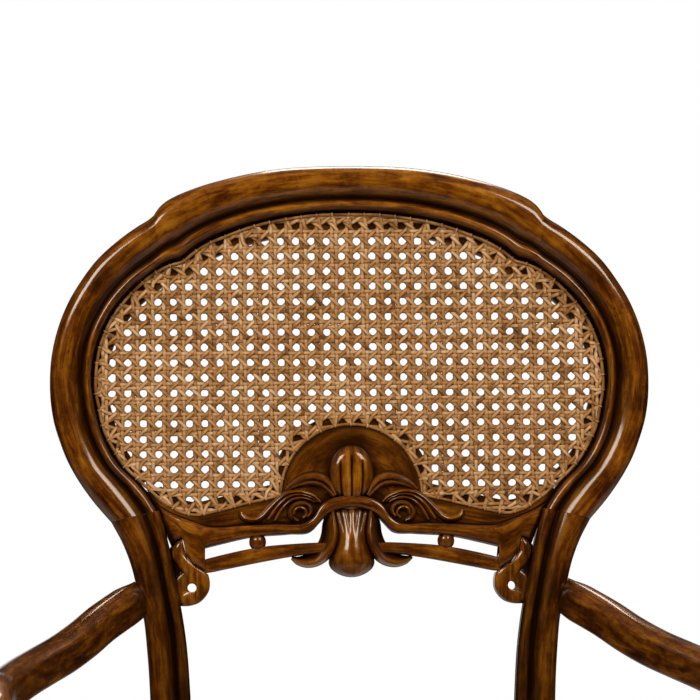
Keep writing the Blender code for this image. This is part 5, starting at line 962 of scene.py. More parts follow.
def palmette_surface():
    """Rings at r = sin t of an oval dome, h sqrt(1 - r^4.5) high, less its flutes, d exp(-(x/w)^2) deep."""
    r = np.sin(np.linspace(0, 1, 60) * math.pi / 2)[1:, None]
    turn = np.linspace(0, 2 * math.pi, 181)[:-1]
    x = PALMETTE_HALF[0] * r * np.cos(turn)
    v = PALMETTE_HALF[1] * r * np.sin(turn) * (1 + 0.03 * np.sin(turn))
    groove = np.zeros_like(x)
    for middle, end in PALMETTE_FLUTES:
        bow = middle * (1 - 0.22 * (v / PALMETTE_HALF[1]) ** 2)
        length = np.clip((PALMETTE_HALF[1] * end - v) / 4, 0, 1)
        groove = np.maximum(groove, length * np.exp(-((x - bow) / PALMETTE_FLUTE_WIDTH) ** 2))
    n = FIELD + PALMETTE_RISE * np.clip(1 - r**4.5, 0, 1) ** 0.5 - PALMETTE_FLUTE_DEPTH * groove
    # Glaze and painted shade in the flutes and round the dome's foot
    glaze = np.clip(groove * 1.1 + 0.9 * r**9, 0, 1)
    x, v, n, glaze = (np.concatenate((grid, grid[-1:])) for grid in (x, v, n, glaze))
    n[-1], glaze[-1] = FIELD - PALMETTE_FOOT, 1
    return in_back(x, PALMETTE_MIDDLE + v, n), glaze


palmette_points, palmette_glaze_and_shade = palmette_surface()
palmette_shell = shell(palmette_points, palmette_glaze_and_shade, upright=True)
palmette = make_piece("palmette", [palmette_shell], rubbed, sharp=75)
settle(palmette, "dark_walnut", "palmette")


# Fronds: beside the palmette on each side, an upper pair of leaf ribs, and a volute whose
# ribs run out into a long curled tail. Carved on the sunk field behind the band's arch.

# Each rib: centre line, half width, height above the field
UPPER_RIBS = (
    ((12.5, 129, 1.6, 3), (16, 136.5, 2.4, 5), (21.4, 142, 3, 6), (28.6, 144.8, 3.1, 6.2),
     (36, 144.4, 3, 5.8), (43.6, 141.6, 2.6, 4.8), (50, 137.6, 1.8, 3.2), (54.6, 133.6, 0.8, 1.6)),
    ((14, 128, 1.2, 2.6), (18.6, 133.2, 1.7, 4.2), (24.6, 138, 2, 5), (32, 139.8, 2, 5),
     (40, 138.8, 1.8, 4.4), (48, 135.6, 1.3, 3.2), (53.4, 132.2, 0.6, 1.6)),
)
VOLUTE_RIBS = (
    ((91.6, 115.2, 1.7, 4.6), (91.2, 112.3, 2, 5), (88.4, 109.5, 2.1, 5), (84, 108.1, 2.2, 5),
     (78.6, 108.3, 2.2, 5.2), (73.6, 111.3, 2.2, 5.4), (69, 116, 2.2, 5.6), (63.6, 121.6, 2.1, 5.8),
     (57.8, 126.7, 2, 6), (51.6, 129.8, 1.9, 6), (44.8, 130.8, 1.8, 5.8), (38, 130.1, 1.6, 5.2),
     (31.2, 127.2, 1.3, 4.2), (26, 122.6, 0.9, 2.6)),
    ((69, 108.6, 1, 3), (65.4, 113, 1.7, 4.4), (62.2, 117.6, 1.8, 5.2), (57.6, 122.8, 1.8, 5.6),
     (52.4, 126.6, 1.7, 5.6), (46.6, 128.4, 1.6, 5.4), (40, 128.4, 1.5, 5), (33.8, 126.4, 1.3, 4.2),
     (28.4, 122.8, 0.9, 2.8)),
    ((63.2, 107.6, 0.9, 2.6), (60.6, 112.2, 1.5, 4), (57.6, 116.8, 1.6, 4.8), (53.4, 121.6, 1.6, 5.2),
     (48.4, 124.8, 1.5, 5.2), (42.6, 125.8, 1.5, 5), (36.6, 125.2, 1.3, 4.6), (31, 122.6, 1, 3.4)),
    ((36.2, 110.6, 0.9, 2.4), (33.2, 115, 1.4, 3.8), (34.2, 119.8, 1.7, 4.8), (38.8, 122.6, 1.9, 5.4),
     (44.6, 122.4, 2, 5.8), (49.6, 119.4, 2, 5.8), (51.6, 114.4, 2, 5.4), (49.2, 109.4, 1.8, 4.8),
     (44.6, 106.8, 1.4, 3.8)),
    ((47.6, 112.6, 1.3, 3.4), (46.6, 116.4, 1.5, 4.2), (42.8, 118.2, 1.5, 4.4), (39, 116.6, 1.4, 4),
     (38, 112.6, 1.2, 3.4), (40.4, 109.8, 1, 2.8)),
)
# The ribs are cut fuller than they are spaced, so that each laps over the next
RIB_FULLNESS = (1, 1, 1.5, 1.3)
RIB_CREST = 0.12
RIB_SUNK = 0.6

ribs = [ridge(np.array(table) * RIB_FULLNESS, FIELD - RIB_SUNK, RIB_CREST, steps=72)
        for table in UPPER_RIBS + VOLUTE_RIBS]
make_pair("leaf_scroll", ribs, rubbed, sharp=70)


# Arms: from the stiles they drop and bow outwards, then run level and forward to a
# scroll that rolls down in front of its support. Shaped from walnut with spokeshave
# and rasp, flat underneath, and pegged into the stiles.

ARM_ROOT = 44.5
ARM_SPREAD = 0.281
ARM_REACH = 0.322
ARM_LEVEL = 0.658
ARM_HALF_WIDTH = 0.0145
ARM_HALF_HEIGHT = 0.0150
SCROLL_DROP = 0.044
# Share of the way out, share of the reach, share of the drop; then down the scroll
ARM_PATH = ((0.14, 0.045, 0.84), (0.30, 0.130, 0.57), (0.44, 0.235, 0.31), (0.585, 0.350, 0.12),
            (0.73, 0.475, 0.03), (0.87, 0.630, 0), (0.965, 0.790, 0), (1, 0.930, 0))
ARM_SCROLL = ((1.000, 0.16), (1.030, 0.46), (1.024, 0.80), (0.986, 1.00), (0.956, 0.92))
# Share of the half width, share of the half height, glaze and painted shade, which is darkest underneath
ARM_SECTION = ((-0.3, -1, 0.6), (-0.7, -0.995, 0.6), (-0.88, -0.94, 0.4), (-0.98, -0.8, 0.2),
               (-1, -0.6, 0.12), (-1, -0.2, 0.2), (-0.99, 0.1, 0.22), (-0.95, 0.34, 0.15),
               (-0.86, 0.56, 0.05), (-0.72, 0.74, 0), (-0.52, 0.88, 0), (-0.27, 0.97, 0), (0, 1, 0.02),
               (0.27, 0.97, 0), (0.52, 0.88, 0), (0.72, 0.74, 0), (0.86, 0.56, 0.05), (0.95, 0.34, 0.15),
               (0.99, 0.1, 0.22), (1, -0.2, 0.2), (1, -0.6, 0.12), (0.98, -0.8, 0.2), (0.88, -0.94, 0.4),
               (0.7, -0.995, 0.6), (0.3, -1, 0.6))
# At its root an arm is this much narrower, and stands off the stile by a hair
ROOT_NARROWER = 0.8
ROOT_GAP = 0.4
# Share of the stile's half depth, and how far its roll falls away there, to which the root is cut
STILE_ROLL = ((0.2, 0), (0.43, 0.48), (0.62, 1.6), (0.8, 3.52), (0.93, 6.4))


def unit(vectors):
    """Vectors of length one in the same directions."""
    vectors = np.asarray(vectors, float)
    return vectors / np.linalg.norm(vectors, axis=-1, keepdims=True)


def swept(path, wide, high, section, first_side):
    """Rings p + a w side + b h over along a path, square to it and carried on without twist."""
    along = unit(np.gradient(path, axis=0))
    aside = [unit(first_side)]
    for way in along:
        aside.append(unit(aside[-1] - way * np.dot(aside[-1], way)))
    aside = np.array(aside[1:])
    over = np.cross(aside, along)
    a, b = section[..., 0], section[..., 1]
    return (path[:, None] + aside[:, None] * (a * wide[:, None])[..., None]
            + over[:, None] * (b * high[:, None])[..., None])


def arm_line(count):
    """The right arm's centre line, from just off the stile to the scroll's end."""
    root = in_back(arm_root_x, ARM_ROOT, 0)
    reach = ARM_REACH + root[1] - BACK_FOOT[1]
    fall = root[2] - ARM_LEVEL
    points = [(root[0] + (ARM_SPREAD - root[0]) * a, root[1] - reach * f, ARM_LEVEL + fall * d)
              for a, f, d in ARM_PATH]
    points += [(ARM_SPREAD, root[1] - reach * f, ARM_LEVEL - SCROLL_DROP * d) for f, d in ARM_SCROLL]
    return through(points, count)


stile_line = through(STILE_OUTER, 400)[::-1]
arm_root_x, above_x = np.interp((ARM_ROOT, ARM_ROOT + 1), stile_line[:, 1], stile_line[:, 0])
arm_path = arm_line(220)
arm_section = np.array(ARM_SECTION)
arm_share = np.linspace(0, 1, len(arm_path))
arm_closing = np.sqrt(1 - np.clip((arm_share - 0.975) / 0.026, 0, 1) ** 2)
arm_wide = ARM_HALF_WIDTH * np.interp(arm_share, (0, 1), (0.92, 1)) * arm_closing
arm_high = ARM_HALF_HEIGHT * np.interp(arm_share, (0, 0.8, 0.9, 1), (1, 1, 0.86, 0.6)) * arm_closing
arm_side = np.cross(arm_path[1] - arm_path[0], (0, 0, 1))
arm_rings = swept(arm_path, arm_wide, arm_high, arm_section[None], arm_side)
face_up = unit((above_x - arm_root_x, 1))
root_out = arm_section[:, 0] * ARM_HALF_WIDTH / MM * ROOT_NARROWER
root_up = arm_section[:, 1] * ARM_HALF_HEIGHT / MM
scribed = np.interp(root_out / HALF_DEPTH, *np.transpose(STILE_ROLL))
root_ring = in_back(arm_root_x - scribed + face_up[1] * ROOT_GAP + face_up[0] * root_up,
                    ARM_ROOT - face_up[0] * ROOT_GAP + face_up[1] * root_up, root_out)
to_arm = arm_rings[0] - root_ring
onward = unit(arm_rings[1] - arm_rings[0]) * np.linalg.norm(to_arm, axis=1, keepdims=True)
neck, _ = cubic(root_ring, to_arm, arm_rings[0], onward, np.linspace(0, 1, 9)[:-1, None, None])
arm_points = np.concatenate((neck, arm_rings))
# Painted shade where the arm meets the stile, fading over its first rings
root_shade = 0.6 * np.clip(1 - np.arange(len(arm_points)) / 16, 0, 1)[:, None]
arm_glaze_and_shade = np.clip(arm_section[None, :, 2] + root_shade, 0, 1)
make_pair("arm", [(arm_points, arm_glaze_and_shade)], walnut)


# Arm supports: squared at the seat rail, then curved out and back under the arms.
# Bent lines sawn from walnut and rounded with a spokeshave, screwed to the side rails.

SEAT_RAIL_HALF = 13
SEAT_DEPTH = 478
FRONT_LEG_ACROSS = 250
BLOCK_HALF = 22.5
SUPPORT_FORWARD = 285
SUPPORT_HALF = 0.0125
SUPPORT_FOOT = 0.366
SUPPORT_LET_IN = 0.0008
# Share of the way out to the arm; then forward and up, as shares of the support's height
SUPPORT_PATH = ((0, 0, 0), (0, 0, 0.22), (0.12, 0.010, 0.40), (0.50, 0.035, 0.64), (0.88, 0, 0.84),
                (1, -0.055, 0.94), (1, -0.065, 1))
SUPPORT_SIZES = (1, 1, 0.88, 0.82, 0.80, 0.86, 0.90)
SEAT_FRAME_TOP = SEAT_RAIL_TOP / MM
JOINT_GAP = 0.3


def leg_front(z):
    """Forward place, in mm, of the rear leg's front face at a height in mm."""
    return (BACK_FOOT[2] / MM - z) * math.tan(BACK_LEAN) + LEG_HALF_DEPTH / math.cos(BACK_LEAN)


def side_rail_at(forward, offset):
    """Across place beside the right side rail, at an offset in mm outwards from its centre line."""
    start = np.array((STILE_OUTER[-1][0], leg_front(SEAT_FRAME_TOP)))
    way = unit(np.array((FRONT_LEG_ACROSS + BLOCK_HALF, SEAT_DEPTH - BLOCK_HALF)) - start)
    out = offset - SEAT_RAIL_HALF
    return start[0] + way[1] * out + way[0] * (forward - start[1] + way[0] * out) / way[1]


def in_seat(x, forward, z):
    """Places in space from mm in the seat: across, forward of the back's foot, and up."""
    return np.stack(np.broadcast_arrays(x, BACK_FOOT[1] / MM - forward, z), axis=-1) * MM


def rounded_square(count, roundness):
    """Points from a square at roundness 0 to a circle at 1: the direction, scaled by s + (1 - s) r."""
    angle = math.pi / 4 + np.linspace(0, 2 * math.pi, count + 1)[:-1]
    way = np.column_stack((np.cos(angle), np.sin(angle)))
    stretch = 1 / np.abs(way).max(axis=1)
    size = stretch + (1 - stretch) * np.asarray(roundness, float)[..., None]
    return way * size[..., None]


def support_line(count):
    """The right support's centre line, from beside the seat rail up to just inside the arm's underside."""
    foot_x = side_rail_at(SUPPORT_FORWARD, SEAT_RAIL_HALF + SUPPORT_HALF / MM + JOINT_GAP) * MM
    forward_top = SUPPORT_FORWARD * MM + SUPPORT_PATH[-1][1] * (ARM_LEVEL - SUPPORT_FOOT)
    before_scroll = arm_path[:160]
    arm_forward = BACK_FOOT[1] - before_scroll[:, 1]
    top_x = np.interp(forward_top, arm_forward, before_scroll[:, 0])
    underside = np.interp(forward_top, arm_forward, before_scroll[:, 2]) - ARM_HALF_HEIGHT
    rise = underside + SUPPORT_LET_IN - SUPPORT_FOOT
    line = through([(foot_x + (top_x - foot_x) * a, BACK_FOOT[1] - SUPPORT_FORWARD * MM - f * rise,
                     SUPPORT_FOOT + rise * h) for a, f, h in SUPPORT_PATH], count)
    line[:, 0] = np.maximum(line[:, 0], foot_x)
    return line


support_path = support_line(120)
support_half = SUPPORT_HALF * np.interp(np.linspace(0, 6, 120), np.arange(7), SUPPORT_SIZES)
support_section = rounded_square(40, np.interp(support_path[:, 2], (0.42, 0.47), (0.12, 0.5)))
rail_slope = side_rail_at(1, 0) - side_rail_at(0, 0)
support_points = swept(support_path, support_half, support_half, support_section, (1, rail_slope, 0))
support_points[[0, -1], :, 2] = support_path[[0, -1], None, 2]
support_glaze = np.clip(0.25 - (np.linalg.norm(support_section, axis=2) - 1) * 0.6, 0, 1)
make_pair("arm_support", [(support_points, support_glaze)], walnut)


# Front legs: cabriole, with a square block for the rails, a full knee and a small scroll foot. Sawn from
# walnut on two faces and rounded, lighter on the edges and darker towards the floor.

KNEE_REACH = 16
# Share of the height, share of the knee's reach, share of the block's half, roundness
FRONT_LEG = ((0.0101, 0.80, 0.58, 1), (0.014, 0.92, 0.66, 1), (0.024, 1.02, 0.76, 1),
             (0.040, 1.06, 0.80, 1), (0.056, 0.98, 0.775, 1), (0.072, 0.76, 0.70, 1),
             (0.090, 0.55, 0.62, 1), (0.141, 0.20, 0.54, 1), (0.235, -0.06, 0.56, 1),
             (0.376, -0.06, 0.67, 1), (0.518, 0.20, 0.84, 1), (0.660, 0.60, 1.06, 0.9),
             (0.755, 0.80, 1.18, 0.8), (0.815, 0.55, 1.14, 0.5), (0.840, 0.30, 1.05, 0.28),
             (0.8541, 0, 1, 0.1))
SHELF = 410
BLOCK_BEVEL = 1.2
# The block and its rounded top under the cover: height, place on the diagonal, half width, roundness
FRONT_BLOCK = ((366, 0, BLOCK_HALF, 0.06), (SHELF - BLOCK_BEVEL, 0, BLOCK_HALF, 0.06),
               (SHELF, 0, BLOCK_HALF - BLOCK_BEVEL, 0.08), (SHELF, -2.7, 18.6, 0.5),
               (SEAT_FRAME_TOP, -2.7, 18.6, 0.5))


def front_leg_surface():
    """Rings of the right front leg, each moved along the seat's diagonal, from the glide to the top."""
    sizes = (SEAT_FRAME_TOP, KNEE_REACH * math.sqrt(0.5), BLOCK_HALF, 1)
    table = even_profile(np.array(FRONT_LEG) * sizes, 130, (1, 1, 1, 40))
    table[0, 0] = GLIDE_TOP
    z, knee, half, roundness = np.concatenate((table, FRONT_BLOCK)).T[..., None]
    ring = rounded_square(64, roundness[:, 0])
    x = FRONT_LEG_ACROSS + knee + ring[..., 0] * half
    forward = SEAT_DEPTH + knee + ring[..., 1] * half
    low_down = np.clip(1 - z / 26, 0, 0.7)
    return in_seat(x, forward, z), np.clip(1.22 + low_down - np.linalg.norm(ring, axis=2), 0, 1)


make_pair("front_leg", [front_leg_surface()], walnut)


# Seat rails: walnut, moulded with a bead along the foot and rebated for the upholstery.
# The front rail is bowed, and its lower edge is sawn to a wave.

RAIL_LOW = -62
# Outward place, height below the top, share of the lower edge's wave that it follows, glaze and painted
# shade
RAIL_SECTION = ((-13, RAIL_LOW, 1, 0.6), (9.8, RAIL_LOW, 1, 0.5), (11.6, -61.5, 1, 0.3),
                (12.6, -60.2, 1, 0.08), (13, -58.2, 1, 0), (12.6, -56.2, 1, 0.15), (11.9, -54.9, 1, 0.6),
                (11.4, -54, 1, 1), (11.7, -53.2, 1, 0.95), (12.2, -52.4, 1, 0.5), (12.6, -51, 1, 0.25),
                (12.9, -47, 0.9, 0.12), (13, -40, 0.7, 0.08), (13, -30, 0.2, 0.08), (13, -23, 0, 0.08),
                (12.8, -20.6, 0, 0.05), (12.2, -18.4, 0, 0), (11.5, -16.6, 0, 0.1), (11, -15.2, 0, 0.5),
                (10.4, -15, 0, 0.9), (7, -15, 0, 1), (7, 0, 0, 0.9), (-13, 0, 0, 0.8))
APRON_WAVE = 6
FRONT_BOW = 12

rail_out, rail_drop, wave_share, section_glaze_and_shade = np.transpose(RAIL_SECTION)
rail_z = SEAT_FRAME_TOP + rail_drop
rail_rear = leg_front(rail_z) + JOINT_GAP
rail_front = SEAT_DEPTH - BLOCK_HALF - JOINT_GAP
rear_ring = in_seat(side_rail_at(rail_rear, rail_out), rail_rear, rail_z)
front_ring = in_seat(side_rail_at(rail_front, rail_out), rail_front, rail_z)
side_rail_points = rear_ring + (front_ring - rear_ring) * np.linspace(0, 1, 40)[:, None, None]
make_pair("side_seat_rail", [(side_rail_points, section_glaze_and_shade[None])], walnut, sharp=60)


def front_bow(x):
    """How far the front rail stands out: b cos^2 of a quarter turn over its half length."""
    return FRONT_BOW * np.cos(math.pi / 2 * np.clip(np.abs(x) / (FRONT_LEG_ACROSS - BLOCK_HALF), 0, 1)) ** 2


front_share = np.linspace(-1, 1, 141)[:, None]
front_x = front_share * (FRONT_LEG_ACROSS - BLOCK_HALF - JOINT_GAP)
front_line = SEAT_DEPTH + BLOCK_HALF - SEAT_RAIL_HALF + front_bow(front_x)
apron_wave = APRON_WAVE * (1 + np.cos(2 * math.pi * front_share))
front_points = in_seat(front_x, front_line + rail_out, rail_z - apron_wave * wave_share)
front_rail = make_piece("front_seat_rail", [shell(front_points, section_glaze_and_shade[None])], walnut, sharp=60)
settle(front_rail, "dark_walnut", "front_seat_rail")


# Plain wood and fittings: the back rail of the seat and the arm pegs in stained walnut,
# corner blocks in raw beech, steel screws and nickel glides, all as turned or sawn.

def raw_beech(name):
    """Beech straight from the saw: pale, with short dark flecks 1.5 mm long."""
    material, tree, shader = new_material(name)
    place = add(tree, "ShaderNodeTexCoord").outputs["Object"]
    lie = add(tree, "ShaderNodeMapping", {"Scale": (50, 300, 900)}, Vector=place).outputs["Vector"]
    figure = add(tree, "ShaderNodeTexNoise", {"Scale": 1, "Detail": 3}, Vector=lie).outputs["Fac"]
    stops = ((0.35, "#9a6f47"), (0.5, "#bd9168"), (0.68, "#caa27a"))
    colour = add(tree, "ShaderNodeValToRGB", {"stops": stops}, Fac=figure).outputs["Color"]
    tree.links.new(colour, shader.inputs["Base Color"])
    shader.inputs["Roughness"].default_value = 0.65
    return material


def plain_metal(name, colour, roughness):
    """Bare metal of one colour."""
    material, _, shader = new_material(name)
    shader.inputs["Base Color"].default_value = linear(colour)
    shader.inputs["Metallic"].default_value = 1
    shader.inputs["Roughness"].default_value = roughness
    return material


stained = antiqued_walnut("stained_walnut_satin", carved=False)
beech = raw_beech("raw_beech")
screw_steel = plain_metal("zinc_plated_steel", "#a9abad", 0.38)
nickel = plain_metal("nickel_plated_steel", "#bdb8ae", 0.25)
finishes = {"rear_seat_rail": stained, "arm_peg": stained, "corner_block": beech,
            "block_screw": screw_steel, "support_screw": screw_steel, "glide": nickel}
for name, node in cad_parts.items():
    for start, finish in finishes.items():
        if name.startswith(start):
            node.data.materials.clear()
            node.data.materials.append(finish)


# Seat cushion: a tight upholstered seat with a low crown over webbing and hessian.
# The cover is pulled over the stuffing and tacked in the rails' rebate; its swell comes
# from cloth under pressure, held along the tacked edge.

REAR_RAIL_LINE = 44
REAR_RAIL_HALF = 12
REBATE = 6
COVER_SKIN = 1.7
COVER_FOOT = 410.3
CUSHION_TOP = 480
# How much narrower and lower the cover is made than it is once it has swelled
COVER_SHRINK = 1.2
COVER_LOWERED = 1.6
NOTCH_GAP = 3
# Share of the way in, share of the height
CUSHION_PROFILE = ((0, 0), (0, 0.14), (-0.010, 0.34), (0, 0.56), (0.040, 0.78), (0.150, 0.92),
                   (0.450, 0.985), (0.800, 1), (0.985, 1.002))
CUSHION_VOXEL = 0.0055
SWELL_LIMIT = 0.006
SWELL_PRESSURE = 4
rear_face = REAR_RAIL_LINE - REAR_RAIL_HALF
leg_inner_x = STILE_INNER[-1][0]


def seat_half(depth):
    """Corners of the right half of the seat's plan in mm, drawn in by a depth from the cover's face."""
    rear = rear_face - COVER_SKIN + depth
    notch_x = leg_inner_x - NOTCH_GAP - depth
    notch_forward = leg_front(SHELF) + NOTCH_GAP + depth
    offset = SEAT_RAIL_HALF - REBATE + COVER_SKIN - depth
    corner_x = FRONT_LEG_ACROSS + BLOCK_HALF - REBATE + COVER_SKIN - depth
    corner_forward = SEAT_DEPTH + BLOCK_HALF - REBATE + COVER_SKIN - depth
    forward = np.linspace(notch_forward, SEAT_DEPTH - BLOCK_HALF, 5)
    side_line = np.column_stack((np.minimum(side_rail_at(forward, offset), corner_x), forward))
    across = np.linspace(FRONT_LEG_ACROSS - BLOCK_HALF, 0, 12)
    front = np.column_stack((across, corner_forward + front_bow(across)))
    start = ((0, rear), (notch_x, rear), (notch_x, notch_forward))
    nose = ((corner_x, corner_forward - 4), (corner_x - 1.2, corner_forward - 1.2),
            (corner_x - 4, corner_forward))
    return np.concatenate((start, side_line, nose, front))


def seat_plan(depth, count, rounding):
    """The whole plan as an even closed line, each point the mean of its neighbours within a rounding."""
    outline = spread(with_mirror(seat_half(depth)), count + 1)[:-1]
    reach = int(rounding / np.linalg.norm(outline[1] - outline[0]))
    return sum(np.roll(outline, k, axis=0) for k in range(-reach, reach + 1)) / (2 * reach + 1)


def seat_disc(plan, inward, z):
    """Rings of a plan, each drawn towards the seat's middle by a share, at heights in mm."""
    centre = np.array((0, (SEAT_DEPTH + REAR_RAIL_LINE) / 2))
    places = centre + (plan - centre)[None] * (1 - inward[:, None, None])
    return in_seat(places[..., 0], places[..., 1], z)


def woven_cover(name):
    """Plain woven upholstery cloth in warm flax, yarns 1.1 mm apart, with slubs and a light nap.

    The weave is sin(u) sin(v) over Object coordinates, so it needs no unfolding.
    """
    material, tree, shader = new_material(name)
    place = add(tree, "ShaderNodeTexCoord").outputs["Object"]
    axes = add(tree, "ShaderNodeSeparateXYZ", Vector=place)
    rate = 2 * math.pi / 0.0022
    waves = []
    for axis in ("X", "Y"):
        bent = add(tree, "ShaderNodeMath", {"operation": "MULTIPLY_ADD"}, _0=axes.outputs["Z"], _1=0.35,
                   _2=axes.outputs[axis])
        phase = add(tree, "ShaderNodeMath", {"operation": "MULTIPLY"}, _0=bent.outputs[0], _1=rate)
        waves.append(add(tree, "ShaderNodeMath", {"operation": "SINE"}, _0=phase.outputs[0]).outputs[0])
    cell = add(tree, "ShaderNodeMath", {"operation": "MULTIPLY"}, _0=waves[0], _1=waves[1]).outputs[0]
    yarns = []
    for stretch in ((900, 60, 60), (60, 900, 60)):
        lie = add(tree, "ShaderNodeMapping", {"Scale": stretch}, Vector=place).outputs["Vector"]
        yarns.append(add(tree, "ShaderNodeTexNoise", {"Scale": 1, "Detail": 2}, Vector=lie).outputs["Fac"])
    slubs = add(tree, "ShaderNodeMath", {"operation": "ADD"}, _0=yarns[0], _1=yarns[1])
    clouds = add(tree, "ShaderNodeTexNoise", {"Scale": 9, "Detail": 4}, Vector=place).outputs["Fac"]
    shade = add(tree, "ShaderNodeMath", {"operation": "MULTIPLY_ADD"}, _0=cell, _1=0.16, _2=-0.1)
    for part, weight in ((slubs.outputs[0], 0.4), (clouds, 0.35)):
        shade = add(tree, "ShaderNodeMath", {"operation": "MULTIPLY_ADD"}, _0=part, _1=weight,
                    _2=shade.outputs[0])
    stops = ((0.25, "#8f7a58"), (0.5, "#b5a07b"), (0.75, "#cdbb98"))
    colour = add(tree, "ShaderNodeValToRGB", {"stops": stops}, Fac=shade.outputs[0]).outputs["Color"]
    tree.links.new(colour, shader.inputs["Base Color"])
    bump = add(tree, "ShaderNodeBump", {"Strength": 0.5, "Distance": 0.0004}, Height=cell)
    tree.links.new(bump.outputs["Normal"], shader.inputs["Normal"])
    shader.inputs["Roughness"].default_value = 0.9
    shader.inputs["Sheen Weight"].default_value = 0.35
    shader.inputs["Sheen Roughness"].default_value = 0.45
    return material


def swollen(piece, limit, pressure, pinned_below):
    """Cloth under pressure on a remeshed skin, over 20 frames.

    It is pinned low down, and from there the limit on a point's move grows over 25 mm to its full size.
    """
    bpy.context.view_layer.objects.active = piece
    remesh = piece.modifiers.new("voxels", "REMESH")
    remesh.mode = "VOXEL"
    remesh.voxel_size = CUSHION_VOXEL
    bpy.ops.object.modifier_apply(modifier=remesh.name)
    count = len(piece.data.vertices)
    rest = np.empty(count * 3, np.float32)
    piece.data.vertices.foreach_get("co", rest)
    rest = rest.reshape(-1, 3)
    pins = piece.vertex_groups.new(name="tacked")
    pins.add(np.flatnonzero(rest[:, 2] < pinned_below).tolist(), 1, "REPLACE")
    cloth = piece.modifiers.new("cloth", "CLOTH")
    cloth.settings.use_pressure = True
    cloth.settings.uniform_pressure_force = pressure
    cloth.settings.effector_weights.gravity = 0
    cloth.settings.vertex_group_mass = "tacked"
    for step in range(1, 21):
        bpy.context.scene.frame_set(step)
    evaluated = piece.evaluated_get(bpy.context.evaluated_depsgraph_get())
    moved = np.empty(count * 3, np.float32)
    evaluated.data.vertices.foreach_get("co", moved)
    move = moved.reshape(-1, 3) - rest
    length = np.linalg.norm(move, axis=1, keepdims=True)
    reach = limit * np.clip((rest[:, 2:] - pinned_below) / 0.025, 0, 1)
    move *= np.minimum(1, reach / np.maximum(length, 1e-9))
    piece.modifiers.remove(cloth)
    piece.vertex_groups.remove(pins)
    bpy.context.scene.frame_set(1)
    piece.data.vertices.foreach_set("co", (rest + move).ravel())
    piece.data.update()


flax = woven_cover("flax_upholstery_cloth")
cover_inward, cover_rise = even_profile(CUSHION_PROFILE, 46, (10, 1)).T
cover_z = COVER_FOOT + (CUSHION_TOP - COVER_LOWERED - COVER_FOOT) * cover_rise[:, None]
cover_points = seat_disc(seat_plan(COVER_SHRINK, 520, 5), cover_inward, cover_z)
cover = make_piece("seat_cover", [shell(cover_points)], flax)
swollen(cover, SWELL_LIMIT, SWELL_PRESSURE, (COVER_FOOT + 9.5) * MM)
smoother = cover.modifiers.new("fine", "SUBSURF")
smoother.levels = smoother.render_levels = 1
cover.data.shade_smooth()
settle(cover, "upholstery", "seat_cover", "seat_stuffing")


# Gimp: a narrow braid glued over the tacks, all round the foot of the cover.
# Two plaited cords with a row of loops between them, woven in the cover's colour.

GIMP_LOW = 410.4
GIMP_HEIGHT = 8.3
GIMP_PITCH = 4.2
GIMP_BASE = 0.35


def braid(name):
    """Silky braid in a deeper flax than the cover, with painted shade between its cords."""
    material, tree, shader = new_material(name)
    dirt_and_shade = add(tree, "ShaderNodeAttribute", {"attribute_name": "glaze"}).outputs["Fac"]
    stops = ((0.0, "#b49a68"), (0.5, "#8d7445"), (1.0, "#4f3d20"))
    colour = add(tree, "ShaderNodeValToRGB", {"stops": stops}, Fac=dirt_and_shade).outputs["Color"]
    tree.links.new(colour, shader.inputs["Base Color"])
    shader.inputs["Roughness"].default_value = 0.6
    shader.inputs["Sheen Weight"].default_value = 0.3
    return material


def gimp_surface():
    """Rings up the braid and down behind it.

    At a share b of its height it stands out g + |sin 3 pi b| (1 + 0.28 sin(turn + lag)), and each
    of the three cords has its own lag.
    """
    plan = seat_plan(-0.3, 3200, 4)
    after = np.roll(plan, -1, axis=0)
    out = -square_to(after - np.roll(plan, 1, axis=0))
    turns = round(np.linalg.norm(after - plan, axis=1).sum() / GIMP_PITCH)
    turn = np.arange(len(plan))[:, None] / len(plan) * turns * 2 * math.pi
    b = np.linspace(0, 1, 21)
    lag = 2.4 * np.minimum((b * 3).astype(int), 2) + b * 18
    stand = GIMP_BASE + np.abs(np.sin(b * math.pi * 3)) * (1 + 0.28 * np.sin(turn + lag))
    stand[:, 0] = stand[:, -1] = 0
    # Painted shade between the cords and along the braid's top and foot, where it stands least far out
    glaze = np.pad(np.clip(1.15 - stand * 0.85, 0, 1), ((0, 0), (0, 2)), constant_values=1)
    stand = np.pad(stand, ((0, 0), (0, 2)), constant_values=-0.2)
    flat = plan[:, None] + out[:, None] * stand[..., None]
    z = GIMP_LOW + GIMP_HEIGHT * np.concatenate((b, (1, 0)))
    return in_seat(flat[..., 0], flat[..., 1], z), glaze


gimp_points, gimp_shade = gimp_surface()
gimp_shell = shell(gimp_points, gimp_shade, loop=True)
gimp = make_piece("seat_gimp", [gimp_shell], braid("flax_silk_gimp"), sharp=180)
settle(gimp, "upholstery", "seat_gimp")


# Under the seat: jute webbing woven three strips by three, a hessian over it, and a
# black cambric dust cover tacked below the rails, which sags a little in the middle.

WEBBING_HALF = 25
WEBBING_THICKNESS = 1.3
WEBBING_LEVEL = 427
WEBBING_CROSS = (0.314, 0.554, 0.795)
WEBBING_MARGIN = 3
WEBBING_FROM_LEG = 15
# Share of the half width, share of the thickness
WEBBING_SECTION = ((-1, -0.5), (-0.5, -0.5), (0, -0.5), (0.5, -0.5), (1, -0.5), (1.01, 0), (1, 0.5),
                   (0.5, 0.5), (0, 0.5), (-0.5, 0.5), (-1, 0.5), (-1.01, 0))
CLOTH_THICKNESS = 0.7
# The dust cover's edge lies this far outside the centre lines of the rear and side rails
DUST_COVER_LAP = 6.5
DUST_COVER_SAG = 2.5
DUST_COVER_GAP = 0.8


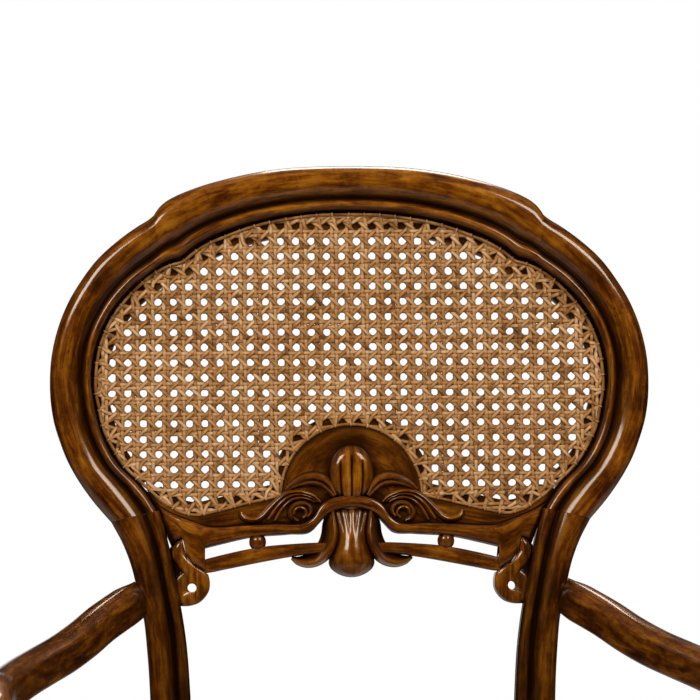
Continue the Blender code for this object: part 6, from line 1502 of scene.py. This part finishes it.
def coarse_cloth(name, stops, pitch, wear):
    """Coarse plain weave: two crossed rows of yarns a pitch apart, with loose fibres."""
    material, tree, shader = new_material(name)
    place = add(tree, "ShaderNodeTexCoord").outputs["Object"]
    rate = 2 * math.pi / (2 * pitch)
    axes = add(tree, "ShaderNodeSeparateXYZ", Vector=place)
    waves = []
    for axis in ("X", "Y"):
        phase = add(tree, "ShaderNodeMath", {"operation": "MULTIPLY"}, _0=axes.outputs[axis], _1=rate)
        waves.append(add(tree, "ShaderNodeMath", {"operation": "SINE"}, _0=phase.outputs[0]).outputs[0])
    cell = add(tree, "ShaderNodeMath", {"operation": "MULTIPLY"}, _0=waves[0], _1=waves[1]).outputs[0]
    fibres = add(tree, "ShaderNodeTexNoise", {"Scale": 400, "Detail": 3}, Vector=place).outputs["Fac"]
    shade = add(tree, "ShaderNodeMath", {"operation": "MULTIPLY_ADD"}, _0=cell, _1=wear, _2=fibres)
    colour = add(tree, "ShaderNodeValToRGB", {"stops": stops}, Fac=shade.outputs[0]).outputs["Color"]
    tree.links.new(colour, shader.inputs["Base Color"])
    bump = add(tree, "ShaderNodeBump", {"Strength": 0.5, "Distance": 0.0005}, Height=cell)
    tree.links.new(bump.outputs["Normal"], shader.inputs["Normal"])
    shader.inputs["Roughness"].default_value = 0.95
    return material


def strip(crossings, first, middle, ends, lengthwise):
    """A webbing strip between two ends, by turns 1 mm over and 1 mm under the strips that it crosses."""
    stops = [ends[0], *(place + half for place in crossings for half in (-20, 20)), ends[1]]
    wave = [-1, *(1 if (i + first) % 2 == 0 else -1 for i in range(len(crossings)) for _ in (0, 1)), -1]
    run = np.linspace(*ends, 160)[:, None]
    wide, thick = np.transpose(WEBBING_SECTION)
    side = middle + wide * WEBBING_HALF
    z = WEBBING_LEVEL + np.interp(run, stops, wave) + thick * WEBBING_THICKNESS
    return shell(in_seat(side, run, z) if lengthwise else in_seat(run, side, z))


cross_places = [SEAT_DEPTH * share for share in WEBBING_CROSS]
long_places = [(leg_inner_x - WEBBING_FROM_LEG - WEBBING_HALF) * i for i in (-1, 0, 1)]
front_rebate = SEAT_DEPTH + BLOCK_HALF - REBATE
strips = []
for i, across in enumerate(long_places):
    front_end = front_rebate - WEBBING_MARGIN + float(front_bow(across)) * 0.9
    strips.append(strip(cross_places, i, across, (rear_face + WEBBING_MARGIN, front_end), lengthwise=True))
for i, forward in enumerate(cross_places):
    reach = float(side_rail_at(forward - WEBBING_HALF, SEAT_RAIL_HALF - REBATE)) - WEBBING_MARGIN
    strips.append(strip(long_places, i + 1, forward, (-reach, reach), lengthwise=False))
jute_stops = ((0.2, "#5d4426"), (0.5, "#8d6f44"), (0.9, "#ab8d5e"))
jute = coarse_cloth("jute_webbing", jute_stops, pitch=0.0022, wear=0.3)
webbing = make_piece("seat_webbing", strips, jute)
settle(webbing, "jute", *(f"webbing_{way}_{i}" for way in ("long", "cross") for i in (1, 2, 3)))


def stretched_cloth(name, plan, level, sag, material):
    """A thin closed sheet over a plan, its middle lower by sag (1 - r^2)^2; also its flat size and area."""
    inward = np.concatenate((np.linspace(0.99, 0, 60), np.linspace(0, 0.99, 60)))
    drop = sag * np.clip(1 - (1 - inward) ** 2, 0, 1) ** 2
    z = level - drop + np.repeat((-CLOTH_THICKNESS / 2, CLOTH_THICKNESS / 2), 60)
    piece = make_piece(name, [shell(seat_disc(plan, inward, z[:, None]))], material)
    shifted = np.roll(plan, -1, axis=0)
    area = abs(np.sum(plan[:, 0] * shifted[:, 1] - shifted[:, 0] * plan[:, 1])) / 2 * MM * MM
    size = (plan.max(axis=0) - plan.min(axis=0)) * MM
    return piece, tuple(float(side) for side in size), float(area)


hessian_stops = ((0.2, "#6d5332"), (0.5, "#9c7f55"), (0.9, "#bfa277"))
hessian_weave = coarse_cloth("jute_hessian", hessian_stops, pitch=0.0014, wear=0.35)
hessian, size, area = stretched_cloth("hessian", seat_plan(2.6, 480, 3), 429.4, 0.2, hessian_weave)
settle(hessian, "jute", "hessian")

cambric_stops = ((0.2, "#0b0b0c"), (0.6, "#151517"), (0.9, "#202022"))
cambric = coarse_cloth("black_cambric", cambric_stops, pitch=0.0006, wear=0.2)
rail_foot = SEAT_FRAME_TOP + RAIL_LOW
panel_rear = REAR_RAIL_LINE - DUST_COVER_LAP
panel_front = SEAT_DEPTH + BLOCK_HALF - 2 * SEAT_RAIL_HALF - 0.9
before_leg = leg_front(rail_foot) + DUST_COVER_GAP
behind_block = SEAT_DEPTH - BLOCK_HALF - DUST_COVER_GAP
beside_leg = leg_inner_x - DUST_COVER_GAP
beside_block = FRONT_LEG_ACROSS - BLOCK_HALF - DUST_COVER_GAP
panel_half = ((0, panel_rear), (beside_leg, panel_rear), (beside_leg, before_leg),
              (side_rail_at(before_leg, DUST_COVER_LAP), before_leg),
              (side_rail_at(behind_block, DUST_COVER_LAP), behind_block), (beside_block, behind_block),
              (beside_block, panel_front), (0, panel_front))
panel = spread(with_mirror(panel_half), 481)[:-1]
dust_cover, size, area = stretched_cloth("dust_cover", panel, rail_foot - 0.75, DUST_COVER_SAG, cambric)
settle(dust_cover, "black_cloth", "dust_cover")


# Camera at the photograph's place: level with the crest, a little to the left, from the front.
# A long lens at three metres keeps the back's outline nearly flat.

camera_data = bpy.data.cameras.new("camera")
camera_data.lens = 186
camera_data.sensor_width = 36
camera = bpy.data.objects.new("camera", camera_data)
bpy.context.scene.collection.objects.link(camera)
camera.location = (-0.1617, -2.726, 1.1488)
aim = np.array((0.0539, 0.9947, -0.0872))
camera.rotation_euler = (math.pi / 2 + math.asin(aim[2]), 0, -math.atan2(aim[0], aim[1]))
bpy.context.scene.camera = camera


# Studio: a pale floor that fades into white, four soft boxes and a dim, warm room.
# The two in front draw the streaks on the lacquer; the top one isn't mirrored in it, and
# the rear one lights the back through the cane.

def soft_box(name, place, target, size, power, colour, mirrored=True):
    """A rectangular lamp that faces a target; the lacquer mirrors it or not."""
    data = bpy.data.lights.new(name, "AREA")
    data.shape = "RECTANGLE"
    data.size, data.size_y = size
    data.energy = power
    data.color = linear(colour)[:3]
    lamp = bpy.data.objects.new(name, data)
    bpy.context.scene.collection.objects.link(lamp)
    lamp.visible_glossy = mirrored
    lamp.location = place
    way = unit(np.array(target) - np.array(place))
    lamp.rotation_euler = (math.acos(-way[2]), 0, math.atan2(way[1], way[0]) - math.pi / 2)


soft_box("left_box", (-1.45, -1.5, 2.42), (0, 0.2, 0.85), (1.15, 0.85), 42, "#fff4e4")
soft_box("right_box", (1.5, -1.7, 2.8), (0, 0.2, 0.85), (1.15, 1.0), 46, "#fff4e4")
soft_box("top_box", (0.1, -0.6, 3.0), (0, 0.1, 0.8), (1.2, 0.5), 10, "#fff6ea", mirrored=False)
soft_box("rear_box", (0.3, 2.2, 3.0), (0, 0.2, 0.8), (1.2, 1.2), 38, "#fff6ea")

world = bpy.data.worlds.new("studio")
bpy.context.scene.world = world
world.use_nodes = True
room = world.node_tree
room.nodes.clear()
rays = add(room, "ShaderNodeLightPath")
heading = add(room, "ShaderNodeTexCoord").outputs["Generated"]
compass = add(room, "ShaderNodeSeparateXYZ", Vector=heading)
beyond = add(room, "ShaderNodeValToRGB", {"stops": ((0.965, 0.0), (0.995, 1.0))}, Fac=compass.outputs["Y"])
sunk = add(room, "ShaderNodeValToRGB", {"stops": ((0.02, 1.0), (0.09, 0.0))}, Fac=compass.outputs["Z"])
seen = add(room, "ShaderNodeMath", {"operation": "ADD"}, _0=rays.outputs["Is Glossy Ray"],
           _1=rays.outputs["Is Transmission Ray"])
for part in (beyond, sunk):
    seen = add(room, "ShaderNodeMath", {"operation": "MULTIPLY"}, _0=seen.outputs[0],
               _1=part.outputs["Color"])
seen = add(room, "ShaderNodeMath", {"operation": "MAXIMUM"}, _0=seen.outputs[0],
           _1=rays.outputs["Is Camera Ray"])
dim_stops = ((0.0, "#1c1408"), (0.55, "#35291a"), (1.0, "#6e5d45"))
dim = add(room, "ShaderNodeValToRGB", {"stops": dim_stops}, Fac=compass.outputs["Z"]).outputs["Color"]
sky = add(room, "ShaderNodeMix", {"data_type": "RGBA"}, _0=seen.outputs[0], _6=dim, _7=(1, 1, 1, 1))
lit = add(room, "ShaderNodeBackground", {"Strength": 1}, Color=sky.outputs[2])
add(room, "ShaderNodeOutputWorld", Surface=lit.outputs[0])

FLOOR_RADIUS = 3.0
floor_mesh = bpy.data.meshes.new("floor")
floor_turn = np.linspace(0, 2 * math.pi, 97)[:-1]
floor_rim = np.column_stack((np.cos(floor_turn), np.sin(floor_turn), 0 * floor_turn)) * FLOOR_RADIUS
floor_mesh.from_pydata(floor_rim.tolist(), [], [list(range(96))])
floor = bpy.data.objects.new("floor", floor_mesh)
bpy.context.scene.collection.objects.link(floor)
floor_paint, tree, shader = new_material("white_studio_floor")
spot = add(tree, "ShaderNodeTexCoord").outputs["Object"]
away = add(tree, "ShaderNodeVectorMath", {"operation": "LENGTH"}, _0=spot).outputs["Value"]
share = add(tree, "ShaderNodeMath", {"operation": "DIVIDE"}, _0=away, _1=FLOOR_RADIUS).outputs[0]
fade = add(tree, "ShaderNodeValToRGB", {"stops": ((0.22, 0.0), (0.75, 1.0))}, Fac=share).outputs["Color"]
shader.inputs["Base Color"].default_value = (0.86, 0.86, 0.86, 1)
shader.inputs["Roughness"].default_value = 0.8
shader.inputs["Specular IOR Level"].default_value = 0.1
camera_only = add(tree, "ShaderNodeLightPath").outputs["Is Camera Ray"]
glow = add(tree, "ShaderNodeMath", {"operation": "MULTIPLY"}, _0=camera_only, _1=0.45)
shader.inputs["Emission Color"].default_value = (1, 1, 1, 1)
tree.links.new(glow.outputs[0], shader.inputs["Emission Strength"])
clear = add(tree, "ShaderNodeBsdfTransparent")
beneath = add(tree, "ShaderNodeNewGeometry").outputs["Backfacing"]
fade = add(tree, "ShaderNodeMath", {"operation": "MAXIMUM"}, _0=fade, _1=beneath).outputs[0]
blend = add(tree, "ShaderNodeMixShader", Fac=fade, _1=shader.outputs["BSDF"], _2=clear.outputs["BSDF"])
tree.links.new(blend.outputs[0], tree.nodes["Material Output"].inputs["Surface"])
floor.data.materials.append(floor_paint)

bpy.context.scene.view_settings.view_transform = "Standard"
